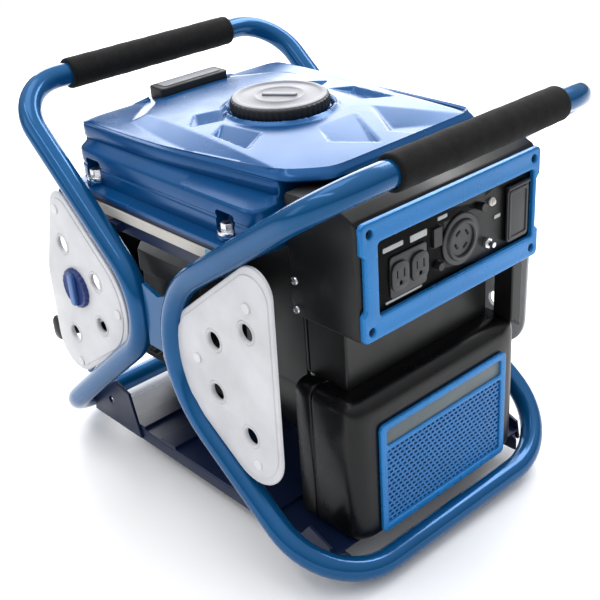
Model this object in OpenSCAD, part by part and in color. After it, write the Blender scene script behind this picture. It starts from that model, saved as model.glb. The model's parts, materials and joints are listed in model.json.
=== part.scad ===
// Open-frame portable generator: two bent tube loops carry an engine, an alternator,
// a fuel tank and a control box. +X is the control-panel end, -X the recoil-starter end,
// -Y the side with the engine dial. The origin is on the floor, in the middle of the object.

/* [Tube frame] */
// Outer diameter of the frame tube
tube_d = 27; // [22:1:28]
// Distance of each side tube's centre from the middle plane
frame_half_width = 198; // [196:1:206]
// Height of the two handle tubes' centres
handle_z = 475.5; // [470:0.5:490]
// Height of the two bottom tubes' centres
foot_tube_z = 22; // [20:1:26]
// Bend radius where a side tube turns into a handle
handle_bend = 62; // [50:1:70]
// Bend radius where a side tube turns into a bottom tube
foot_bend = 92; // [75:1:100]
// Outer diameter of the foam grips
grip_d = 37; // [34:1:44]
// Length of the foam grips
grip_length = 243; // [200:1:250]

/* [Side plates] */
// Thickness of the pressed side plates
plate_t = 4; // [2:0.5:5]
// Diameter of the round holes in the side plates
plate_hole_d = 20; // [14:1:24]
// Diameter of the engine dial
dial_d = 50; // [40:1:56]

/* [Fuel tank] */
// Height of the underside of the tank's mounting flange
tank_flange_z = 368; // [366:1:370]
// Height of the tank's flat top
tank_top_z = 449; // [447:1:451]
// Diameter of the fuel cap
cap_d = 112; // [96:1:116]

/* [Engine and alternator] */
// Height of the crankshaft above the floor
shaft_z = 135; // [134:1:136]
// Diameter of the crankshaft
shaft_d = 28; // [24:1:30]
// Diameter of the alternator's stator
stator_d = 164; // [150:1:168]
// Angle of the cylinder above the horizontal
cylinder_tilt = 25; // [22:1:28]

/* [Control box] */
// Width of the control box
box_w = 268; // [264:1:270]
// Height of the control box at its front
box_h = 124; // [122:1:126]

/* [Hidden] */
$fn = 48;

// Places of the loops along X: handle, virtual corner of the waist bend, bottom tube
left_handle_x = -248;
left_waist = [2, 260];
left_foot_x = -277;
left_waist_bend = 76;
right_handle_x = 272;
right_waist = [-67, 246.5];
right_foot_x = 246;
right_waist_bend = 116;
bend_steps = 8;
tube_sides = 24;
seat_gap = 0.3;

// ---------------------------------------------------------------- paths and sweeps

function unit(v) = v / norm(v);

// Half of the angle between the two legs that leave corner b
function half_angle(a, b, c) = acos(unit(a - b) * unit(c - b)) / 2;

// Points of the bend of radius r that rounds corner b, from leg ab to leg bc
function bend_points(a, b, c, r, steps) =
    let (u = unit(a - b), v = unit(c - b), half = half_angle(a, b, c))
    let (centre = b + unit(u + v) * r / sin(half), start = b + u * r / tan(half))
    let (x = unit(start - centre), turn = 180 - 2 * half)
    [for (i = [0 : steps]) centre + r * (x * cos(turn * i / steps) - u * sin(turn * i / steps))];

// The whole path round a closed run of corners, and along an open one
function closed_path(points, radii, steps) =
    let (n = len(points))
    [for (i = [0 : n - 1])
        each bend_points(points[(i + n - 1) % n], points[i], points[(i + 1) % n], radii[i], steps)];
function open_path(points, r, steps) =
    let (last = len(points) - 1)
    concat([points[0]],
        [for (i = [1 : last - 1])
            each bend_points(points[i - 1], points[i], points[i + 1], r, steps)],
        [points[last]]);

// Direction of travel at point i of a path
function tangent(path, i, closed) =
    let (n = len(path))
    closed ? unit(path[(i + 1) % n] - path[(i + n - 1) % n])
           : unit(path[min(i + 1, n - 1)] - path[max(i - 1, 0)]);

// Normals carried along the path, each the last one made square to the new direction
function carried_normals(path, closed, i = 0, last = [0, 0, 0]) =
    i == len(path) ? [] :
    let (t = tangent(path, i, closed))
    let (seed = i > 0 ? last : (abs(t.z) < 0.8 ? [0, 0, 1] : [1, 0, 0]))
    let (n = unit(seed - (seed * t) * t))
    concat([n], carried_normals(path, closed, i + 1, n));

function ring(centre, t, n, r, sides) =
    let (b = cross(t, n))
    [for (k = [0 : sides - 1]) centre + r * (n * cos(360 * k / sides) + b * sin(360 * k / sides))];

// A round bar swept along a path
module sweep(path, d, sides, closed) {
    count = len(path);
    normals = carried_normals(path, closed);
    points = [for (i = [0 : count - 1])
        each ring(path[i], tangent(path, i, closed), normals[i], d / 2, sides)];
    spans = closed ? count : count - 1;
    walls = [for (i = [0 : spans - 1], k = [0 : sides - 1])
        let (j = (i + 1) % count, m = (k + 1) % sides)
        [i * sides + k, j * sides + k, j * sides + m, i * sides + m]];
    first = [for (k = [0 : sides - 1]) k];
    last = [for (k = [sides - 1 : -1 : 0]) (count - 1) * sides + k];
    polyhedron(points, closed ? walls : concat(walls, [first, last]), convexity = 10);
}

// ---------------------------------------------------------------- shared shapes

module block(low, high) {
    translate(low)
        cube(high - low);
}

// A block whose four edges along X, Y or Z are cut by c
function cut_rect(w, h, c) = [
    [-w / 2 + c, -h / 2], [w / 2 - c, -h / 2], [w / 2, -h / 2 + c], [w / 2, h / 2 - c],
    [w / 2 - c, h / 2], [-w / 2 + c, h / 2], [-w / 2, h / 2 - c], [-w / 2, -h / 2 + c]
];
module cut_block_z(low, high, c) {
    mid = (low + high) / 2;
    translate([mid.x, mid.y, low.z])
        linear_extrude(high.z - low.z)
            polygon(cut_rect(high.x - low.x, high.y - low.y, c));
}
module cut_block_x(low, high, c) {
    mid = (low + high) / 2;
    translate([low.x, mid.y, mid.z])
        rotate([90, 0, 90])
            linear_extrude(high.x - low.x)
                polygon(cut_rect(high.y - low.y, high.z - low.z, c));
}
module cut_block_y(low, high, c) {
    mid = (low + high) / 2;
    translate([mid.x, high.y, mid.z])
        rotate([90, 0, 0])
            linear_extrude(high.y - low.y)
                polygon(cut_rect(high.x - low.x, high.z - low.z, c));
}

// Bars along X and Y, given by one end's centre
module bar_x(from, length, d) {
    translate(from)
        rotate([0, 90, 0])
            cylinder(h = length, d = d);
}
module bar_y(from, length, d) {
    translate(from)
        rotate([-90, 0, 0])
            cylinder(h = length, d = d);
}

module hex_head(d, h) {
    cylinder(h = h, d = d, $fn = 6);
}

module both_sides() {
    children();
    mirror([0, 1, 0])
        children();
}

// ---------------------------------------------------------------- frame

module frame_loop(handle_x, waist, waist_bend, foot_x) {
    w = frame_half_width;
    corners = [
        [handle_x, -w, handle_z], [handle_x, w, handle_z], [waist.x, w, waist.y],
        [foot_x, w, foot_tube_z], [foot_x, -w, foot_tube_z], [waist.x, -w, waist.y]
    ];
    radii = [handle_bend, handle_bend, waist_bend, foot_bend, foot_bend, waist_bend];
    sweep(closed_path(corners, radii, bend_steps), tube_d, tube_sides, true);
}

module left_loop() {
    color("royalblue") frame_loop(left_handle_x, left_waist, left_waist_bend, left_foot_x);
}

module right_loop() {
    color("royalblue") frame_loop(right_handle_x, right_waist, right_waist_bend, right_foot_x);
}

// Centre of a loop's waist bend, in the XZ plane
function waist_centre(handle_x, waist, waist_bend, foot_x) =
    let (a = [handle_x, handle_z], c = [foot_x, foot_tube_z])
    waist + unit(unit(a - waist) + unit(c - waist)) * waist_bend / sin(half_angle(a, waist, c));

gusset_t = 5;
gusset_low = [-24, 226];
gusset_high = [30, 306];
module waist_gussets() {
    left = waist_centre(left_handle_x, left_waist, left_waist_bend, left_foot_x);
    right = waist_centre(right_handle_x, right_waist, right_waist_bend, right_foot_x);
    both_sides()
        translate([0, -frame_half_width + gusset_t / 2, 0])
            rotate([90, 0, 0])
                linear_extrude(gusset_t)
                    difference() {
                        polygon([gusset_low, [gusset_high.x, gusset_low.y], gusset_high,
                                 [(gusset_low.x + gusset_high.x) / 2, gusset_high.y - 12],
                                 [gusset_low.x, gusset_high.y - 4]]);
                        translate(left)
                            circle(r = left_waist_bend + tube_d / 2 + seat_gap);
                        translate(right)
                            circle(r = right_waist_bend + tube_d / 2 + seat_gap);
                    }
}

// ---------------------------------------------------------------- base

rail_y = 150;
rail_w = 16;
rail_low = 18;
rail_high = 36;
// The rails end just short of the bottom tubes' bends, further out on the outer edge
rail_ends = [[left_foot_x + 21, left_foot_x + 34], [right_foot_x - 22, right_foot_x - 38]];
module base_rails() {
    inner = -rail_y + rail_w / 2;
    outer = -rail_y - rail_w / 2;
    color("midnightblue") both_sides()
        translate([0, 0, rail_low])
            linear_extrude(rail_high - rail_low)
                polygon([[rail_ends[0].x, inner], [rail_ends[1].x, inner],
                         [rail_ends[1].y, outer], [rail_ends[0].y, outer]]);
}

bracket_t = 4;
axle_hole_d = 10.5;
axle_hole = [-201, 57];
module corner_brackets() {
    left_outline = [[-246, 24], [-240, 54], [-186, 92], [-156, 84], [-140, 24]];
    right_outline = [[214, 24], [210, 48], [178, 60], [150, 24]];
    color("slateblue") both_sides()
        translate([0, -rail_y - rail_w / 2, 0])
            rotate([90, 0, 0])
                linear_extrude(bracket_t)
                    difference() {
                        union() {
                            polygon(left_outline);
                            polygon(right_outline);
                        }
                        translate(axle_hole)
                            circle(d = axle_hole_d);
                    }
}

cross_member_x = [-150, -85, 100];
cross_member_top = 42;
tray_left = -212;
tray_right = 214;
tray_t = 1.8;
// A sheet tray with a raised cross beam under each row of isolators
module base_tray() {
    half = rail_y + rail_w / 2;
    color("midnightblue") {
        block([tray_left, -half, rail_high], [tray_right, half, rail_high + tray_t]);
        for (x = cross_member_x)
            block([x - 15, -half, rail_high], [x + 15, half, cross_member_top]);
    }
}

foot_y = 105;
module rubber_feet() {
    color("dimgray") for (x = [cross_member_x[0], cross_member_x[2]], y = [-foot_y, foot_y])
        translate([x, y, 0])
            cylinder(h = rail_high, d1 = 38, d2 = 28);
}

isolator_y = 62;
isolator_h = 16;
module engine_isolators() {
    color("dimgray") for (x = cross_member_x, y = [-isolator_y, isolator_y])
        translate([x, y, cross_member_top])
            cylinder(h = isolator_h, d = 28);
}

// ---------------------------------------------------------------- grips

module foam_grip(x) {
    color("black")
        translate([x, -grip_length / 2, handle_z])
            rotate([-90, 0, 0])
                difference() {
                    cylinder(h = grip_length, d = grip_d);
                    translate([0, 0, -1])
                        cylinder(h = grip_length + 2, d = tube_d + 2 * seat_gap);
                }
}

module left_grip() {
    foam_grip(left_handle_x);
}

module right_grip() {
    foam_grip(right_handle_x);
}

// ---------------------------------------------------------------- side plates

plate_y = 196;
plate_gap = 1;
left_plate_corners = [[-188, 385], [-232.5, 255], [-232.5, 92], [-20, 236]];
left_plate_radii = [22, 60, 38, 74];
right_plate_corners = [[193.5, 411], [187.5, 84], [-29.5, 234]];
right_plate_radii = [27, 45, 74];
left_plate_holes = [[-122, 271], [-123, 213], [-184, 301], [-189, 180]];
right_plate_holes = [[97, 277], [94, 214], [151, 306], [144, 181]];
// Screws as [x, z, direction of the nearest tube, distance to that tube's surface]
left_plate_screws = [[-187, 345, 49, 45], [-82, 243, 0, 24], [-187, 140, -49, 17]];
right_plate_screws = [[156, 335, 124, 37], [66, 245, 180, 31], [152, 150, 234, 35]];
dial_centre = [-165.5, 250];
dial_hole_d = 26;
plate_screw_d = 6.4;

// A corner outline with every corner rounded, as points of the XZ plane
function rounded_outline(corners, radii, steps) =
    let (n = len(corners))
    [for (i = [0 : n - 1])
        each [for (p = bend_points(to_3d(corners[(i + n - 1) % n]), to_3d(corners[i]),
                                   to_3d(corners[(i + 1) % n]), radii[i], steps))
            [p.x, p.y]]];
function to_3d(p) = [p.x, p.y, 0];

// The space inside a loop's waist bend, clear of the tube, as points of the XZ plane
function inside_waist(handle_x, waist, waist_bend, foot_x) =
    let (a = [handle_x, handle_z], c = [foot_x, foot_tube_z], clear = tube_d / 2 + plate_gap)
    let (shift = unit(unit(a - waist) + unit(c - waist)) * clear / sin(half_angle(a, waist, c)))
    concat([a + shift],
           bend_points(a + shift, waist + shift, c + shift, waist_bend - clear, bend_steps),
           [c + shift]);
left_inside = inside_waist(left_handle_x, left_waist, left_waist_bend, left_foot_x);
right_inside = inside_waist(right_handle_x, right_waist, right_waist_bend, right_foot_x);

module side_plate(corners, radii, inside, holes, screws) {
    translate([0, -plate_y, 0])
        rotate([90, 0, 0])
            linear_extrude(plate_t)
                difference() {
                    intersection() {
                        polygon(rounded_outline(corners, radii, 10));
                        polygon(inside);
                    }
                    for (p = holes)
                        translate(p)
                            circle(d = plate_hole_d);
                    for (p = screws)
                        translate([p.x, p.y])
                            circle(d = plate_screw_d);
                }
}

module left_side_plate() {
    side_plate(left_plate_corners, left_plate_radii, left_inside, left_plate_holes, left_plate_screws);
}
module right_side_plate() {
    side_plate(right_plate_corners, right_plate_radii, right_inside, right_plate_holes,
               right_plate_screws);
}

module near_left_plate() {
    color("silver") difference() {
        left_side_plate();
        bar_y([dial_centre.x, -plate_y - plate_t - 1, dial_centre.y], plate_t + 2, dial_hole_d);
    }
}

module near_right_plate() {
    color("silver") right_side_plate();
}

module far_side_plates() {
    color("silver") mirror([0, 1, 0]) {
        left_side_plate();
        right_side_plate();
    }
}

// Tabs welded to the tubes, which the plates are screwed to
tab_t = 3;
tab_half = 10;
module plate_tabs() {
    both_sides()
        for (p = concat(left_plate_screws, right_plate_screws))
            translate([p.x, -plate_y + tab_t, p.y])
                rotate([90, 0, 0])
                    linear_extrude(tab_t)
                        rotate(p[2])
                            difference() {
                                translate([-tab_half, -tab_half])
                                    square([tab_half + p[3] - 1, 2 * tab_half]);
                                circle(d = plate_screw_d);
                            }
}

module welded_tabs() {
    color("steelblue") {
        waist_gussets();
        plate_tabs();
    }
}

screw_head_d = 12;
module plate_screws() {
    color("gainsboro") both_sides()
        for (p = concat(left_plate_screws, right_plate_screws)) {
            bar_y([p.x, -plate_y - plate_t - 3, p.y], 3, screw_head_d);
            bar_y([p.x, -plate_y - plate_t, p.y], plate_t + tab_t + 5, plate_screw_d);
        }
}

// The engine dial stands on the near left plate and turns on a stem through it
dial_front_y = -211;
dial_gap = 0.4;
module engine_dial() {
    back = -plate_y - plate_t - dial_gap;
    color("navy") {
        bar_y([dial_centre.x, dial_front_y + 3, dial_centre.y], back - dial_front_y - 3, dial_d);
        cut_block_y([dial_centre.x - 6, dial_front_y, dial_centre.y - dial_d / 2 + 2],
                    [dial_centre.x + 6, dial_front_y + 3, dial_centre.y + dial_d / 2 - 2], 3);
        bar_y([dial_centre.x, back, dial_centre.y], plate_t + 2 * dial_gap + 6,
              dial_hole_d - 2 * dial_gap);
    }
}

// ---------------------------------------------------------------- fuel tank

tank_left = -184;
tank_right = 132;
tank_half_w = 164;
shelf_z = 419;
hood_z = 436;
support_y = 176;
tank_bolt_x = [-149, 87];
tank_bolt_y = 160;
pocket_half = 15;
pocket_top = 404;
boss_top = tank_flange_z + 12;
boss_d = 26;
cap_centre = [-7.5, 0];
neck_d = 74;
neck_top = 456;
gauge_low = [-188, -52];
gauge_high = [-158, 50];

// Half of a tank outline, from the left end round to the right; mirrored for the far side
function mirrored_outline(half) =
    concat(half, [for (i = [len(half) - 1 : -1 : 0]) [half[i].x, -half[i].y]]);

flange_outline = mirrored_outline([
    [tank_left - 3, -160], [tank_left + 14, -support_y - 2],
    [tank_right - 6, -support_y - 2], [tank_right + 3, -168]
]);
wall_outline = mirrored_outline([
    [tank_left, -156], [tank_left + 10, -tank_half_w],
    [tank_right - 8, -tank_half_w], [tank_right, -156]
]);
// Above a shelf the near and far walls draw in to the right, and a hood overhangs the right end
near_edge = [[-187, -152], [-177, -163], [-122, -158], [-50, -150], [104, -149]];
upper_outline = mirrored_outline(concat(near_edge, [[tank_right, -136]]));
// The hood's shoulders rise in steps from its edge to the flat top. It's wider on the far side.
near_hood = concat(near_edge, [[124, -143], [171, -94]]);
far_hood = [[168, 126], [134, 158], [104, 160], [-50, 156], [-122, 158], [-177, 163], [-187, 152]];
near_flat = [[-178, -62], [-152, -80], [-118, -103], [-50, -109], [104, -122], [132, -126], [165, -90]];
far_flat = [[160, 118], [132, 126], [104, 122], [-50, 109], [-118, 103], [-152, 80], [-178, 62]];
shoulder_steps = 4;
function hood_step(share) =
    concat(near_hood, far_hood) * (1 - share) + concat(near_flat, far_flat) * share;

module slab(outline, low, high) {
    translate([0, 0, low])
        linear_extrude(high - low)
            polygon(outline);
}

module tank_body() {
    step_h = (tank_top_z - hood_z) / shoulder_steps;
    difference() {
        union() {
            slab(flange_outline, tank_flange_z, tank_flange_z + 6);
            slab(wall_outline, tank_flange_z + 6, shelf_z);
            slab(upper_outline, shelf_z, hood_z);
            for (i = [0 : shoulder_steps - 1])
                translate([0, 0, i * step_h])
                    slab(hood_step(i / (shoulder_steps - 1)), hood_z, hood_z + step_h);
            translate([cap_centre.x, cap_centre.y, tank_top_z])
                cylinder(h = neck_top - tank_top_z, d = neck_d);
        }
        for (x = tank_bolt_x, side = [-1, 1])
            block([x - pocket_half, side > 0 ? tank_bolt_y - 14 : -200, tank_flange_z + 6],
                  [x + pocket_half, side > 0 ? 200 : -tank_bolt_y + 14, pocket_top]);
        translate([cap_centre.x, cap_centre.y, tank_flange_z + 20])
            cylinder(h = 100, d = neck_d - 8);
        block([gauge_low.x - 10, gauge_low.y - 2, hood_z + 2],
              [gauge_high.x + 2, gauge_high.y + 2, tank_top_z + 5]);
    }
}

// The tank stands on a round boss at each bolt
module fuel_tank() {
    color("cornflowerblue") difference() {
        union() {
            tank_body();
            for (x = tank_bolt_x, side = [-1, 1])
                translate([x, side * tank_bolt_y, tank_flange_z + 3])
                    cylinder(h = boss_top - tank_flange_z - 3, d = boss_d);
        }
        for (x = tank_bolt_x, side = [-1, 1])
            translate([x, side * tank_bolt_y, tank_flange_z - 1])
                cylinder(h = boss_top - tank_flange_z + 2, d = 9);
    }
}

module tank_bolts() {
    color("gainsboro") for (x = tank_bolt_x, side = [-1, 1])
        translate([x, side * tank_bolt_y, boss_top]) {
            cylinder(h = 4, d = 24);
            translate([0, 0, 4])
                hex_head(16, 8);
            translate([0, 0, -22])
                cylinder(h = 22, d = 8.4);
        }
}

cap_base = tank_top_z + 1;
cap_h = 15;
module fuel_cap() {
    color("darkgray") translate([cap_centre.x, cap_centre.y, 0])
        difference() {
            union() {
                translate([0, 0, cap_base])
                    cylinder(h = cap_h - 2, d = cap_d);
                translate([0, 0, cap_base + cap_h - 2])
                    cylinder(h = 2, d1 = cap_d, d2 = cap_d - 10);
            }
            translate([0, 0, cap_base - 1])
                cylinder(h = neck_top - cap_base + 1.8, d = neck_d + 1);
        }
}

module fuel_gauge() {
    color("dimgray")
        cut_block_z([gauge_low.x, gauge_low.y, hood_z + 2],
                    [gauge_high.x, gauge_high.y, tank_top_z - 2], 4);
}

spacer_x = [-94, 76];
module tank_support_rails() {
    web_low = 336;
    spacer_y = -frame_half_width + tube_d / 2 + seat_gap;
    color("darkslateblue") both_sides()
        difference() {
            union() {
                block([-176, -support_y, web_low], [128, -support_y + 3, tank_flange_z]);
                block([-176, -support_y, tank_flange_z - 3], [128, -support_y + 34, tank_flange_z]);
                for (x = spacer_x)
                    block([x - 9, spacer_y, web_low + 2], [x + 9, -support_y, web_low + 12]);
            }
            for (x = tank_bolt_x)
                translate([x, -tank_bolt_y, tank_flange_z - 5])
                    cylinder(h = 8, d = 9);
        }
}

strip_t = 2.5;
module trim_strips() {
    color("silver") both_sides()
        cut_block_y([-160, -support_y - strip_t, 351], [84, -support_y, 363], 2);
}

tap_x = -40;
tap_y = -60;
tap_low = 336;
tap_high = 350;
module fuel_tap() {
    color("goldenrod") {
        translate([tap_x, tap_y, tap_high])
            cylinder(h = tank_flange_z - tap_high, d = 12);
        cut_block_z([tap_x - 10, tap_y - 12, tap_low], [tap_x + 10, tap_y + 12, tap_high], 4);
    }
}

// ---------------------------------------------------------------- engine

case_left = -165;
case_right = -60;
case_half_w = 72;
case_low = cross_member_top + isolator_h;
case_high = 205;
bearing_gap = 0.05;
crank_web_d = 96;
cylinder_x = -112;
cylinder_bore = 68;
dipstick_d = 20;
dipstick_at = [-140, 95];

// The cylinder's own frame: +Z runs from the crankshaft out along the cylinder
module cylinder_frame(out) {
    translate([cylinder_x, 0, shaft_z])
        rotate([90 - cylinder_tilt, 0, 0])
            translate([0, 0, out])
                children();
}

module crankcase() {
    foot_half = 78;
    color("gray") difference() {
        union() {
            cut_block_x([case_left, -case_half_w, case_low], [case_right, case_half_w, case_high], 16);
            block([case_left, -foot_half, case_low], [case_right, foot_half, case_low + 10]);
            cylinder_frame(barrel_seat)
                cylinder(h = barrel_from - barrel_seat, d = cylinder_bore + 24);
        }
        cylinder_frame(barrel_from)
            cylinder(h = 40, d = 2 * fin_w);
        bar_x([case_left - 1, 0, shaft_z], case_right - case_left + 2, shaft_d + 2 * bearing_gap);
        bar_x([case_left + 12, 0, shaft_z], case_right - case_left - 24, crank_web_d + 8);
        cylinder_frame(0)
            cylinder(h = 120, d = cylinder_bore);
        bar_y([dipstick_at.x, case_half_w - 14, dipstick_at.y], 20, dipstick_d + 2 * seat_gap);
    }
}

barrel_seat = 55;
barrel_from = 84;
fin_pitch = 8;
fin_count = 6;
fin_t = 3;
barrel_length = fin_pitch * fin_count;
fin_w = 88;
fin_h = 84;

module cylinder_barrel() {
    color("darkgray") cylinder_frame(barrel_from)
        difference() {
            union() {
                cylinder(h = barrel_length, d = cylinder_bore + 8);
                for (i = [0 : fin_count - 1])
                    translate([-fin_w / 2, -fin_h / 2, i * fin_pitch + 2])
                        cube([fin_w, fin_h, fin_t]);
            }
            translate([0, 0, -1])
                cylinder(h = barrel_length + 2, d = cylinder_bore);
        }
}

head_from = barrel_from + barrel_length;
head_length = 22;
module cylinder_head() {
    color("darkgray") cylinder_frame(head_from) {
        translate([-fin_w / 2, -fin_h / 2, 0])
            cube([fin_w, fin_h, 6]);
        translate([-fin_w / 2 + 8, -fin_h / 2 + 8, 6])
            cube([fin_w - 16, fin_h - 16, head_length - 6]);
        for (z = [9, 16])
            translate([-fin_w / 2, -fin_h / 2, z])
                cube([fin_w, fin_h, fin_t]);
    }
}

module valve_cover() {
    color("gray") cylinder_frame(head_from + head_length) {
        linear_extrude(5)
            polygon(cut_rect(fin_w - 10, fin_h - 14, 8));
        translate([0, 0, 5])
            linear_extrude(11)
                polygon(cut_rect(fin_w - 20, fin_h - 24, 10));
    }
}

plug_out = head_from + 12;
module plug_frame(x) {
    cylinder_frame(plug_out)
        translate([x, 0, 0])
            rotate([0, -90, 0])
                children();
}
module spark_plug() {
    color("white") plug_frame(-fin_w / 2) {
        cylinder(h = 8, d = 14);
        translate([0, 0, 8])
            hex_head(20, 7);
    }
}
module spark_plug_boot() {
    color("black") plug_frame(-fin_w / 2 - 15) {
        cylinder(h = 22, d = 18);
        translate([0, 0, 22])
            cylinder(h = 8, d1 = 18, d2 = 12);
    }
}

module oil_dipstick() {
    head = case_half_w + seat_gap;
    color("yellow") {
        bar_y([dipstick_at.x, head - 13, dipstick_at.y], 13, dipstick_d);
        bar_y([dipstick_at.x, head, dipstick_at.y], 6, 32);
        block([dipstick_at.x - 3, head + 6, dipstick_at.y - 13],
              [dipstick_at.x + 3, head + 18, dipstick_at.y + 13]);
    }
}

module drain_bolt() {
    color("gainsboro")
        translate([-90, case_half_w + 8, 84])
            rotate([90, 0, 0])
                hex_head(18, 8);
}

shaft_left = -204;
shaft_right = 136;
module crankshaft() {
    web_t = 12;
    throw = 27;
    color("lightsteelblue") {
        bar_x([shaft_left, 0, shaft_z], cylinder_x - 18 - shaft_left, shaft_d);
        bar_x([cylinder_x + 18, 0, shaft_z], shaft_right - cylinder_x - 18, shaft_d);
        for (x = [cylinder_x - 18, cylinder_x + 18 - web_t])
            bar_x([x, 0, shaft_z], web_t, crank_web_d);
        bar_x([cylinder_x - 18 + web_t, 0, shaft_z + throw], 36 - 2 * web_t, 26);
    }
}

fan_left = -198;
fan_right = -168;
module flywheel_fan() {
    blades = 16;
    color("dimgray") difference() {
        union() {
            bar_x([fan_right - 12, 0, shaft_z], 12, 150);
            bar_x([fan_left + 4, 0, shaft_z], fan_right - fan_left - 4, 60);
            for (i = [0 : blades - 1])
                translate([fan_left, 0, shaft_z])
                    rotate([360 * i / blades, 0, 0])
                        translate([0, 46, -1.5])
                            cube([fan_right - 8 - fan_left, 28, 3]);
        }
        bar_x([fan_left - 1, 0, shaft_z], fan_right - fan_left + 2, shaft_d);
    }
}

shroud_left = -205;
shroud_d = 186;

// The duct that leads the fan's air over the cylinder, seen along X and drawn in by inset
module duct(from, to, inset) {
    translate([from, 0, 0])
        rotate([90, 0, 90])
            linear_extrude(to - from)
                polygon([[-86, 166 + inset], [-108 + inset, 218 + inset], [-150 + inset, 213 + inset],
                         [-150 + inset, 290 - inset / 2], [-136 + inset / 2, 305 - inset],
                         [-50 - inset / 2, 305 - inset], [86 - 2 * inset, 166]]);
}

module fan_shroud() {
    wall = 3;
    color("black") difference() {
        union() {
            bar_x([shroud_left, 0, shaft_z], case_left - shroud_left, shroud_d);
            duct(shroud_left, case_left, 0);
        }
        bar_x([shroud_left + wall, 0, shaft_z], case_left - shroud_left, shroud_d - 2 * wall);
        duct(shroud_left + wall, case_left + 1, wall);
        bar_x([shroud_left - 1, 0, shaft_z], wall + 2, 130);
    }
}

// ---------------------------------------------------------------- recoil starter

recoil_left = -232;
recoil_d = 172;
rope_y = -159;
rope_z = 156;
rope_d = 5;
guide_end = -162;
pulley_post_d = 20;

module recoil_housing() {
    wall = 3;
    slots = 10;
    arm_low = rope_z - 13;
    color("black") {
        difference() {
            union() {
                bar_x([recoil_left, 0, shaft_z], shroud_left - recoil_left, recoil_d);
                block([recoil_left + 4, rope_y - 12, arm_low], [shroud_left, -70, arm_low + 26]);
                bar_x([shroud_left - 1, rope_y, rope_z], guide_end - shroud_left + 1, 12);
            }
            bar_x([recoil_left + wall, 0, shaft_z], shroud_left - recoil_left, recoil_d - 2 * wall);
            bar_x([recoil_left - 1, rope_y, rope_z], guide_end - recoil_left + 2, rope_d + 2);
            for (i = [0 : slots - 1])
                translate([recoil_left - 1, 0, shaft_z])
                    rotate([360 * (i + 0.5) / slots, 0, 0])
                        translate([0, 34, -5])
                            cube([wall + 2, 38, 10]);
        }
        bar_x([recoil_left + wall - 1, 0, shaft_z], 22, pulley_post_d);
    }
}

module recoil_pulley() {
    color("white") difference() {
        union() {
            bar_x([recoil_left + 6, 0, shaft_z], 3, 104);
            bar_x([recoil_left + 8, 0, shaft_z], 8, 90);
            bar_x([recoil_left + 15, 0, shaft_z], 3, 104);
        }
        bar_x([recoil_left + 4, 0, shaft_z], 20, pulley_post_d + 2 * bearing_gap);
    }
}

handle_left = -267.5;
handle_right = -245.5;
module recoil_rope() {
    color("white") bar_x([handle_right, rope_y, rope_z], guide_end - 4 - handle_right, rope_d);
}

module recoil_handle() {
    color("black")
        cut_block_y([handle_left, rope_y - 35, rope_z - 18],
                    [handle_right, rope_y + 35, rope_z + 18], 7);
}

// ---------------------------------------------------------------- intake and exhaust

carb_low = [-68, -150, 172];
carb_high = [-30, -112, 212];
filter_low = [-75, -172, 248];
filter_high = [25, -98, 322];
module carburettor() {
    mid = (carb_low + carb_high) / 2;
    color("darkgray") {
        block(carb_low, carb_high);
        translate([mid.x, mid.y, carb_low.z - 18])
            cylinder(h = 18, d = 30);
        translate([mid.x, mid.y, carb_high.z])
            cylinder(h = filter_low.z - carb_high.z, d = 28);
    }
}

module air_filter_box() {
    color("darkslategray") {
        cut_block_z(filter_low, [filter_high.x, filter_high.y, filter_high.z - 26], 12);
        cut_block_z([filter_low.x - 3, filter_low.y - 3, filter_high.z - 26],
                    filter_high + [3, 3, 0], 14);
    }
}

module fuel_hose() {
    hose_d = 8;
    hose_z = 200;
    color("black")
        sweep(open_path([[tap_x, tap_y, tap_low], [tap_x, tap_y, hose_z],
                         [tap_x, carb_high.y, hose_z]], 22, 6), hose_d, 10, false);
}

muffler_low = [-20, 22, 232];
muffler_high = [125, 150, 318];
pipe_x = -134;
pipe_y = 85;
pipe_rise = 46;
module exhaust_pipe() {
    // The pipe leaves the head's upper side square to it, then crosses over to the muffler
    outward = [0, -cos(cylinder_tilt), sin(cylinder_tilt)];
    upward = [0, sin(cylinder_tilt), cos(cylinder_tilt)];
    start = [pipe_x, 0, shaft_z] + outward * (head_from + head_length / 2)
            + upward * (fin_h / 2 + seat_gap);
    turn = start + upward * pipe_rise;
    color("peru")
        sweep(open_path([start, turn, [pipe_x, pipe_y, turn.z],
                         [muffler_low.x - seat_gap, pipe_y, turn.z]], 26, 6), 24, 16, false);
}

tailpipe = [88, 298];
module muffler() {
    color("darkgray") difference() {
        union() {
            cut_block_x(muffler_low, muffler_high, 24);
            bar_y([tailpipe.x, muffler_high.y - 4, tailpipe.y - 20], 24, 24);
        }
        bar_y([tailpipe.x, muffler_high.y - 6, tailpipe.y - 20], 40, 20);
    }
}

module muffler_shield() {
    sheet = 2;
    gap = 4;
    top = muffler_high.z + gap;
    side = muffler_high.y + gap;
    slots = 5;
    color("gainsboro") difference() {
        union() {
            block([muffler_low.x - 4, muffler_low.y, top],
                  [muffler_high.x + 4, side + sheet, top + sheet]);
            block([muffler_low.x - 4, side, muffler_low.z + 6],
                  [muffler_high.x + 4, side + sheet, top]);
            for (x = [muffler_low.x + 4, muffler_high.x - 12],
                 y = [muffler_low.y + 26, muffler_high.y - 36])
                block([x, y, muffler_high.z], [x + 8, y + 8, top]);
        }
        bar_y([tailpipe.x, side - 1, tailpipe.y - 20], sheet + 2, 32);
        for (i = [0 : slots - 1])
            translate([muffler_low.x + 16 + i * 26, muffler_low.y + 20, top - 1])
                cube([10, 90, sheet + 2]);
    }
}

// ---------------------------------------------------------------- alternator

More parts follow.
